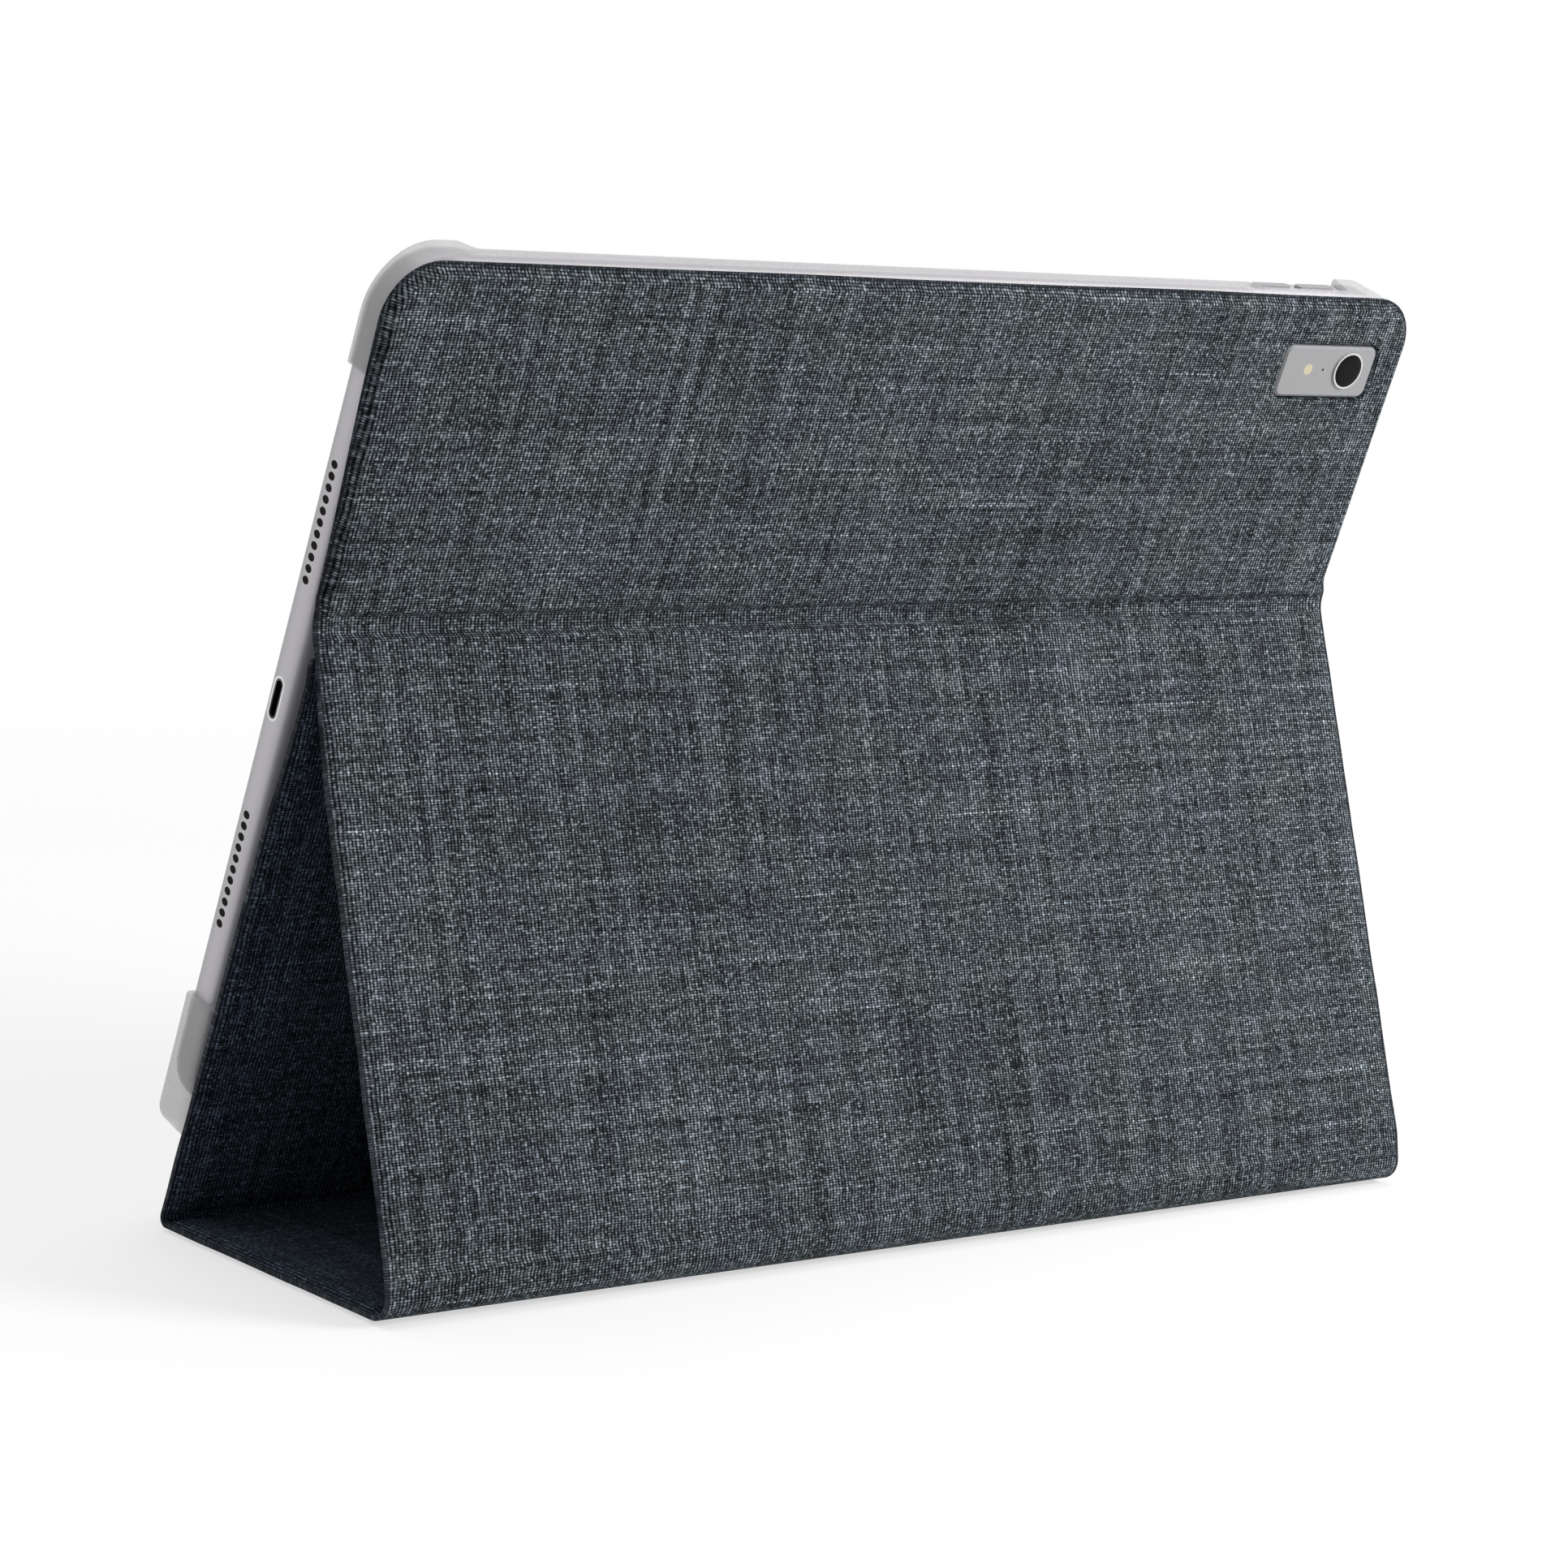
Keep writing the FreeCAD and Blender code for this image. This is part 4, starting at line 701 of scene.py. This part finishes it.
def streak(f, x, x_rate, y, y_rate, salt):
    """Noise centred on 0 at (x, y) times their rates: a slow rate draws it out that way."""
    at = f.add("CombineXYZ", {0: f.sum("MULTIPLY", x, x_rate), 1: f.sum("MULTIPLY", y, y_rate),
                              2: salt}).outputs[0]
    return f.sum("SUBTRACT", f.noise(at, 1.0, 2.0), 0.5)


def chance(f, x, y, salt):
    """A number from 0 to 1, squared so that most are small, for each whole x and y."""
    at = f.add("CombineXYZ", {0: x, 1: y, 2: salt}).outputs[0]
    pick = f.add("TexWhiteNoise", {"Vector": at}, noise_dimensions="3D").outputs[0]
    return f.sum("MULTIPLY", pick, pick)


def yarn_tone(f, flat, i, j, weft_up):
    """Tone of the thread on top: 1 plus streaks, each times its reach, and not below the darkest.

    Bands, fibres and specks are shared; each thread adds its own streak, and the weft its slubs.
    """
    across, along = f.add("SeparateXYZ", {0: flat}).outputs[:2]
    warp = streak(f, i, NEXT_THREAD, along, ALONG_THREAD, 3.7)
    weft = streak(f, across, ALONG_THREAD, j, NEXT_THREAD, 11.3)
    thick_yarn = streak(f, across, ALONG_SLUB, j, NEXT_SLUB, 23.9)
    slub = f.sum("MAXIMUM", f.sum("SUBTRACT", thick_yarn, SLUB_FROM), 0.0)
    fibre = f.sum("SUBTRACT", f.noise(flat, FIBRE_RATE, 1.0), 0.5)
    shared = 1.0
    for part, reach in ((streak(f, across, NEXT_BAND, along, ALONG_WARP, 5.1), WARP_BAND),
                        (streak(f, across, ALONG_WEFT, along, NEXT_ROW, 8.9), WEFT_BAND),
                        (fibre, FIBRE),
                        (f.sum("SUBTRACT", chance(f, i, j, 0.5), 1 / 3), SPECKLE)):
        shared = f.sum("MULTIPLY_ADD", part, reach, shared)
    warp_tone = f.sum("MULTIPLY_ADD", warp, YARN_REACH, shared)
    weft_tone = f.sum("MULTIPLY_ADD", weft, YARN_REACH,
                      f.sum("MULTIPLY_ADD", slub, SLUB_REACH, shared))
    tone = f.add("Mix", {0: f.sum("MULTIPLY_ADD", weft_up, 0.8, 0.1), 2: warp_tone,
                         3: weft_tone}).outputs[0]
    return f.sum("MAXIMUM", tone, DARKEST)


# %% Roundness of the yarn, also painted shade in its gaps
GAP_FILL, GAP_LEAST = 0.6, 0.08


def thread_round_and_gap_shade(f, thread, power, gap):
    """Roundness across a thread: half a sine to a power, lifted where a fibre fills the gap. In the
    colour it is painted gap shade.
    """
    half_sine = f.sum("SINE", f.sum("MULTIPLY", f.sum("FRACT", thread), np.pi))
    hill = f.sum("POWER", half_sine, power)
    return f.sum("MULTIPLY_ADD", gap, f.sum("SUBTRACT", 1.0, hill), hill)


def yarn_hump_and_gap_shade(f, u, v, i, j, weft_up):
    """Roundness of the dot at a crossing: across both threads, narrower across the one on top. In
    the colour it is painted gap shade.
    """
    gap_u = f.sum("MULTIPLY", chance(f, f.sum("FLOOR", f.sum("ADD", u, 0.5)), j, 1.5), GAP_FILL)
    gap_v = f.sum("MULTIPLY_ADD", chance(f, i, f.sum("FLOOR", f.sum("ADD", v, 0.5)), 4.5),
                  GAP_FILL, GAP_LEAST)
    return f.sum("MULTIPLY",
                 thread_round_and_gap_shade(f, u, f.sum("MULTIPLY_ADD", weft_up, -1.0, 2.4), gap_u),
                 thread_round_and_gap_shade(f, v, f.sum("MULTIPLY_ADD", weft_up, 1.2, 0.9), gap_v))


# %% Weave finish
WARP_PITCH, WEFT_PITCH, STRAY, CONTRAST = 0.768, 0.472, 1.2, 1.5
EDGE_DARK_TONE = (0.012, 0.013, 0.018, 1)
COOL, BLUE = np.array([0.85, 1.0, 1.05]), np.array([0.85, 0.98, 1.14])


def weave_finish(name, lightness, glow, cast=1.0):
    """Plain weave: thread numbers from u and v, the one on top by odd or even, tones by noise.

    The cast multiplies both hues, for a yarn of another colour.
    """
    f = Finish(name)
    flat = f.add("UVMap", uv_map="weave").outputs[0]
    across, along = f.add("SeparateXYZ", {0: flat}).outputs[:2]
    stray = f.add("TexNoise", {"Vector": flat, "Scale": 0.12, "Detail": 2.0}).outputs["Color"]
    stray_u, stray_v = f.add("SeparateColor", {0: stray}).outputs[:2]
    u = f.sum("MULTIPLY_ADD", across, 1 / WARP_PITCH, f.sum("MULTIPLY", stray_u, STRAY))
    v = f.sum("MULTIPLY_ADD", along, 1 / WEFT_PITCH, f.sum("MULTIPLY", stray_v, STRAY))
    i, j = f.sum("FLOOR", u), f.sum("FLOOR", v)
    weft_up = f.sum("FLOORED_MODULO", f.sum("ADD", i, j), 2.0)
    tone, hump_and_gap_shade = yarn_tone(f, flat, i, j, weft_up), yarn_hump_and_gap_shade(f, u, v, i, j, weft_up)
    hue = f.mix(f.sum("MULTIPLY_ADD", f.noise(flat, 0.07, 3.0), 4.0, -1.5),
                (*(lightness * cast * COOL), 1), (*(lightness * cast * BLUE), 1))
    # Painted shade: the tone is multiplied by the hump, which darkens the gaps between the threads.
    shade = f.sum("POWER", f.sum("MULTIPLY", tone, hump_and_gap_shade), CONTRAST)
    cloth = f.add("VectorMath", {0: hue, 3: shade}, operation="SCALE").outputs[0]
    edge_dark_share = f.add("Attribute", attribute_name="rim").outputs["Fac"]
    # The cloth's colour goes darker towards its cut edges, within 0.8 mm of them.
    cloth = f.mix(f.sum("MULTIPLY", edge_dark_share, 0.7), cloth, EDGE_DARK_TONE)
    fuzz = f.sum("MULTIPLY_ADD", f.noise(flat, 2.2, 3.0), 0.25, 0.7)
    return f.surface(Base_Color=cloth, Roughness=fuzz, Sheen_Weight=glow, Sheen_Roughness=0.5,
                     Sheen_Tint=(0.75, 0.82, 0.88, 1), Specular_IOR_Level=0.05,
                     Normal=f.bump(hump_and_gap_shade, 0.00012, 0.5))


charcoal = weave_finish("charcoal_weave", 0.192, 0.015)
# Painted shade: the lining is the same weave at about half the lightness, darkened for the shadow
# inside the case, with a bluer cast.
lining = weave_finish("lining_weave_painted_shade", 0.100, 0.015, np.array([0.95, 1.1, 1.4]))
for piece in strip:
    piece.data.materials[0], piece.data.materials[1] = charcoal, lining
upper_cloth.data.materials.append(charcoal)
print("weave:", len(charcoal.node_tree.nodes), "nodes")

# %% [markdown]
# ### Frosted shell, metal, glass and the hidden parts
# The shell is polycarbonate with a fine matt texture. Bent light through thin walls makes dark
# lines that the real one doesn't have, so each wall scatters a share and lets the rest through.
# The tablet is aluminium blasted with fine beads and anodised. The oxide scatters light as paint
# does, so it is only part metal here, with a grainy roughness and no clear reflection.

# %% Shell and tablet finishes
MILK, TABLET_DEPTH = 0.45, 5.3


def frosted_finish():
    """Milky clear plastic: a share of pale scatter in each wall, the rest seen straight through."""
    f = Finish("frosted_plastic")
    place = f.place()
    grain = f.noise(place, 900.0, 3.0)
    cloud = f.noise(place, 40.0, 2.0)
    tint = f.mix(cloud, (0.45, 0.44, 0.45, 1), (0.49, 0.48, 0.49, 1))
    rough = f.sum("MULTIPLY_ADD", grain, 0.15, 0.22)
    return f.surface(Base_Color=tint, Roughness=rough, Alpha=MILK,
                     Normal=f.bump(grain, 0.00002, 0.1))


def blasted_finish(name, light, dark, rough, metal=1.0, barrel=0.0):
    """Bead-blasted metal: fine grain in tone, roughness and bump, and a slow cloud of tone.

    A barrel makes the flat sides shade as a slightly round wall: the height falls with the square
    of the distance from the middle of the tablet's thickness.
    """
    f = Finish(name)
    place = f.place()
    grain, cloud = f.noise(place, 3500.0, 2.0), f.noise(place, 30.0, 2.0)
    tone = f.sum("MULTIPLY_ADD", grain, 0.6, f.sum("MULTIPLY", cloud, 0.4))
    normal = f.bump(grain, 0.00002, 0.5)
    if barrel:
        depth = f.add("VectorMath", {0: place, 1: tray_out}, operation="DOT_PRODUCT")
        off = f.sum("SUBTRACT", depth.outputs["Value"], float(tray_middle))
        height = f.sum("MULTIPLY", f.sum("MULTIPLY", off, off), -barrel)
        normal = f.bump(height, 1.0, 1.0, Normal=normal)
    return f.surface(Base_Color=f.mix(tone, dark, light), Metallic=metal,
                     Roughness=f.sum("MULTIPLY_ADD", grain, 0.2, rough), Normal=normal)


def gloss_finish(name, light, dark, scale, rough, coat, gleam=0.5):
    """Polished black: two near tones in slow noise under a clear coat."""
    f = Finish(name)
    cloud = f.noise(f.place(), scale, 3.0)
    return f.surface(Base_Color=f.mix(cloud, dark, light), Coat_Weight=coat, Coat_Roughness=0.03,
                     Specular_IOR_Level=gleam, Roughness=f.sum("MULTIPLY_ADD", cloud, 0.06, rough))


def fibre_finish(name, light, dark, scale, rough):
    """Pressed or woven filler: speckled tone, rough, with a matching bump."""
    f = Finish(name)
    grain = f.noise(f.place(), scale, 5.0)
    return f.surface(Base_Color=f.mix(grain, dark, light),
                     Roughness=f.sum("MULTIPLY_ADD", grain, 0.2, rough),
                     Normal=f.bump(grain, 0.0001, 0.5))


tray_out = (0, float(-np.sin(upper_slope)), float(np.cos(upper_slope)))
tray_middle = crease @ tray_out[1:] * MM - TABLET_DEPTH * MM
frosted = frosted_finish()
metal = blasted_finish("blasted_aluminium", (0.56, 0.545, 0.57, 1), (0.49, 0.475, 0.50, 1), 0.40,
                       metal=0.45, barrel=80.0)
plate = blasted_finish("plate_grey", (0.25, 0.25, 0.256, 1), (0.22, 0.22, 0.226, 1), 0.55,
                       metal=0.1)
# Painted shade: the buttons are a darker, less metallic copy of the housing's blasted aluminium.
buttons_painted_shade = blasted_finish("button_metal_painted_shade", (0.30, 0.29, 0.305, 1), (0.25, 0.24, 0.255, 1), 0.5,
                      metal=0.2)
silver = blasted_finish("polished_rim", (0.74, 0.74, 0.75, 1), (0.64, 0.64, 0.65, 1), 0.12)
# Painted shade: the port's slot is near-black metal, for the shade deep inside it.
port_painted_shade = blasted_finish("port_steel_painted_shade", (0.10, 0.09, 0.095, 1), (0.06, 0.055, 0.06, 1), 0.3)
nickel = blasted_finish("magnet_nickel", (0.60, 0.60, 0.62, 1), (0.45, 0.45, 0.47, 1), 0.25)
foil = blasted_finish("battery_foil", (0.12, 0.12, 0.13, 1), (0.07, 0.07, 0.08, 1), 0.35)
screen = gloss_finish("display_glass", (0.012, 0.012, 0.014, 1), (0.006, 0.006, 0.008, 1), 60,
                      0.04, 0.1)
lens = gloss_finish("lens_glass", (0.006, 0.006, 0.007, 1), (0.002, 0.002, 0.003, 1), 900,
                    0.2, 0.0, gleam=0.06)
flash = fibre_finish("flash_diffuser", (0.46, 0.41, 0.29, 1), (0.36, 0.31, 0.21, 1), 2500, 0.4)
grille_and_hole_shade = gloss_finish("speaker_mesh", (0.016, 0.012, 0.012, 1), (0.005, 0.004, 0.004, 1), 5000,
                      0.6, 0.0, gleam=0.05)
board = fibre_finish("grey_board", (0.32, 0.30, 0.27, 1), (0.20, 0.19, 0.17, 1), 700, 0.7)
glue = fibre_finish("bonding_film", (0.60, 0.60, 0.57, 1), (0.50, 0.50, 0.47, 1), 400, 0.35)
circuit = fibre_finish("circuit_green", (0.02, 0.09, 0.05, 1), (0.01, 0.05, 0.03, 1), 900, 0.4)

# %% Put the finishes on the CAD nodes that still show or lie inside
wears = {
    metal: ["tablet_housing"], plate: ["camera_plate"],
    buttons_painted_shade: ["volume_up_button", "volume_down_button", "power_button"],
    port_painted_shade: ["charge_port"], silver: ["camera_ring"], screen: ["tablet_glass"],
    flash: ["flash_lens"], grille_and_hole_shade: ["speaker_meshes"], foil: ["battery_cells"],
    circuit: ["logic_board"], nickel: ["flap_magnets", "cover_magnets"], glue: ["upper_adhesive"],
    board: ["base_board", "spine_board", "flap_board", "upper_board", "cover_board"]}
for finish, names in wears.items():
    for name in names:
        frame["nodes"][name].material_slots[0].material = finish
shell.data.materials.append(frosted)
port_rim.data.materials.append(silver)
# Partly painted shade: the cups close the holes and are near-black, for the black mesh behind and
# the shade down each hole.
speaker_holes.data.materials.append(grille_and_hole_shade)
lens_dome.data.materials.append(lens)
print("finishes on", sum(map(len, wears.values())), "CAD nodes")

# %% [markdown]
# ## Which body each piece follows
# A panel's cloth rides on its own panel, and the cloth round a fold stays where it is laid. Each
# new piece hides the plain CAD solids that it stands for; the boards stay inside.

# %% Ride and replace
def fold_line(name, end):
    """The middle of the strip where a fold starts (0) or ends (1), as a point in metres."""
    return tuple(float(c) for c in walk(np.array(leg_at[name][end]), 0.0, 0.0))


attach(cover_cloth, "cover")
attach(base_cloth, "base")
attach(spine_cloth, "spine")
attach(flap_cloth, "flap")
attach(upper_cloth, "tray")
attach(shell, "tray")
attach(port_rim, "tablet")
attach(speaker_holes, "tablet")
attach(lens_dome, "tablet")
fold_line("front", 1)
fold_line("front", 0)
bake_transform(front_cloth)
fold_line("heel", 0)
fold_line("heel", 1)
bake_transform(heel_cloth)
fold_line("crease", 0)
fold_line("crease", 1)
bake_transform(crease_cloth)

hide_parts("cover_fabric", "cover_lining")
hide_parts("front_strip")
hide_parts("base_fabric", "base_lining")
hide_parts("heel_strip")
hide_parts("spine_fabric", "spine_lining", "spine_strip")
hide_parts("flap_fabric", "flap_lining")
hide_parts("crease_strip")
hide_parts("upper_fabric")
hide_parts("clear_shell", "corner_lips")
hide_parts("camera_lens")
print(len(strip), "cloth pieces of the strip, three of them bending at a fold")

# %% [markdown]
# ## How large the cloth was before it was folded
# A cutter would lay the strip flat: as wide as the case, and as long as the walk. Each stretch is
# glued tight to its own board. Reading the size off the folded mesh would count both faces and
# the swell, so the walked lengths are used.

# %% Flat sizes of the cloth
def flat_size(low, high):
    """Width and length, in metres, of the strip between two walked lengths before it is folded."""
    return 2 * half_wide * MM, float(high - low) * MM


print("the whole strip is", np.round(flat_size(0, leg_at["upper"][1]), 4), "m flat")

# %% [markdown]
# ## Floor, light and camera
# The photograph was taken against white with soft light from above and from the right. The floor
# shows mostly white to the camera but keeps part of the shadow, a broad lamp gives the direction,
# and the white world fills the rest. The camera is placed by the corners of the case.

# %% Floor
FLOOR_HALF, FLOOR_DROP, SHADOW_SHARE = 6.0, 0.0002, 0.4
WHITE_FROM, WHITE_TO = 0.15, 0.7
floor = make_piece("floor", np.array([[-1, -1, 0], [1, -1, 0], [1, 1, 0], [-1, 1, 0]])
                   * FLOOR_HALF - [0, 0, FLOOR_DROP], [[0, 1, 2, 3]])
paper = Finish("white_paper")
soft_white = paper.noise(paper.place(), 8.0)
matt = paper.add("BsdfDiffuse", {"Color": paper.mix(soft_white, (0.86, 0.86, 0.86, 1),
                                                    (0.90, 0.90, 0.90, 1))})
glow = paper.add("Emission", {"Color": (1, 1, 1, 1), "Strength": 1.0})
ray = paper.add("LightPath")
seen = paper.sum("MAXIMUM", ray.outputs["Is Camera Ray"],
                 paper.sum("MAXIMUM", ray.outputs["Is Glossy Ray"],
                           ray.outputs["Is Transmission Ray"]))
away = paper.add("VectorMath", {0: paper.place()}, operation="LENGTH").outputs["Value"]
white = paper.add("MapRange", {"Value": away, "From Min": WHITE_FROM, "From Max": WHITE_TO,
                               "To Min": 1 - SHADOW_SHARE, "To Max": 1.0},
                  interpolation_type="SMOOTHSTEP").outputs[0]
shown = paper.add("MixShader", {0: paper.sum("MULTIPLY", seen, white), 1: matt.outputs[0],
                                2: glow.outputs[0]})
paper.add("OutputMaterial", {"Surface": shown.outputs[0]})
floor.data.materials.append(paper.material)
print("floor: keeps", SHADOW_SHARE, "of the shadow close to the case")

# %% World and lamps
WORLD_LIGHT = 0.45
world = bpy.data.worlds.new("studio")
bpy.context.scene.world = world
world.use_nodes = True
nodes, links = world.node_tree.nodes, world.node_tree.links
sky, rays = nodes["Background"], nodes.new("ShaderNodeLightPath")
sky.inputs["Strength"].default_value = WORLD_LIGHT
strength = sky.inputs["Strength"]
for kind in ("Is Camera Ray", "Is Glossy Ray", "Is Transmission Ray"):
    brighter = nodes.new("ShaderNodeMath")
    brighter.operation = "MAXIMUM"
    brighter.inputs[1].default_value = WORLD_LIGHT
    links.new(rays.outputs[kind], brighter.inputs[0])
    links.new(brighter.outputs[0], strength)
    strength = brighter.inputs[1]
sky.inputs["Color"].default_value = (1, 1, 1, 1)


def put(name, data, right, up, back, spot):
    """A lamp or camera at spot, with its own x, y and z along right, up and back."""
    thing = bpy.data.objects.new(name, data)
    bpy.context.scene.collection.objects.link(thing)
    pose = np.eye(4)
    pose[:3] = np.stack([right, up, back, spot], 1)
    thing.matrix_world = Matrix(pose.tolist())
    return thing


def area_lamp(name, spot, aim, size, watts):
    """A square lamp at spot that faces aim: its z points back from the aim and its x is level."""
    light = bpy.data.lights.new(name, "AREA")
    light.size, light.energy = size, watts
    back = np.array(spot) - np.array(aim)
    side = np.cross([0, 0, 1.0], back)
    side /= np.linalg.norm(side)
    back /= np.linalg.norm(back)
    put(name, light, side, np.cross(back, side), back, spot)


area_lamp("key", (0.47, -0.50, 0.42), (0.08, 0, 0.1), 0.35, 6.0)
area_lamp("top", (-0.1, 0.1, 1.2), (0, 0, 0.1), 0.9, 7)
print("world at", WORLD_LIGHT, "with", len(bpy.data.lights), "lamps")

# %% Camera
PHOTO_PIXELS, FOCAL_PIXELS, SENSOR = 1932, 5599.466, 36.0
spot = np.array([-572.096, -650.912, 217.279]) * MM
azimuth, elevation, roll = np.radians([40.5917, -8.8545, 4.4386])
look = np.array([np.sin(azimuth) * np.cos(elevation), np.cos(azimuth) * np.cos(elevation),
                 np.sin(elevation)])
level_right = np.cross(look, [0, 0, 1.0])
level_right /= np.linalg.norm(level_right)
level_up = np.cross(level_right, look)
right = np.cos(roll) * level_right + np.sin(roll) * level_up
above = -np.sin(roll) * level_right + np.cos(roll) * level_up
eye = bpy.data.cameras.new("camera")
eye.sensor_width, eye.lens = SENSOR, FOCAL_PIXELS * SENSOR / PHOTO_PIXELS
eye.clip_start = 0.01
bpy.context.scene.camera = put("camera", eye, right, above, -look, spot)
bpy.context.scene.view_settings.view_transform = "Standard"
print("camera lens", round(eye.lens, 2), "mm")
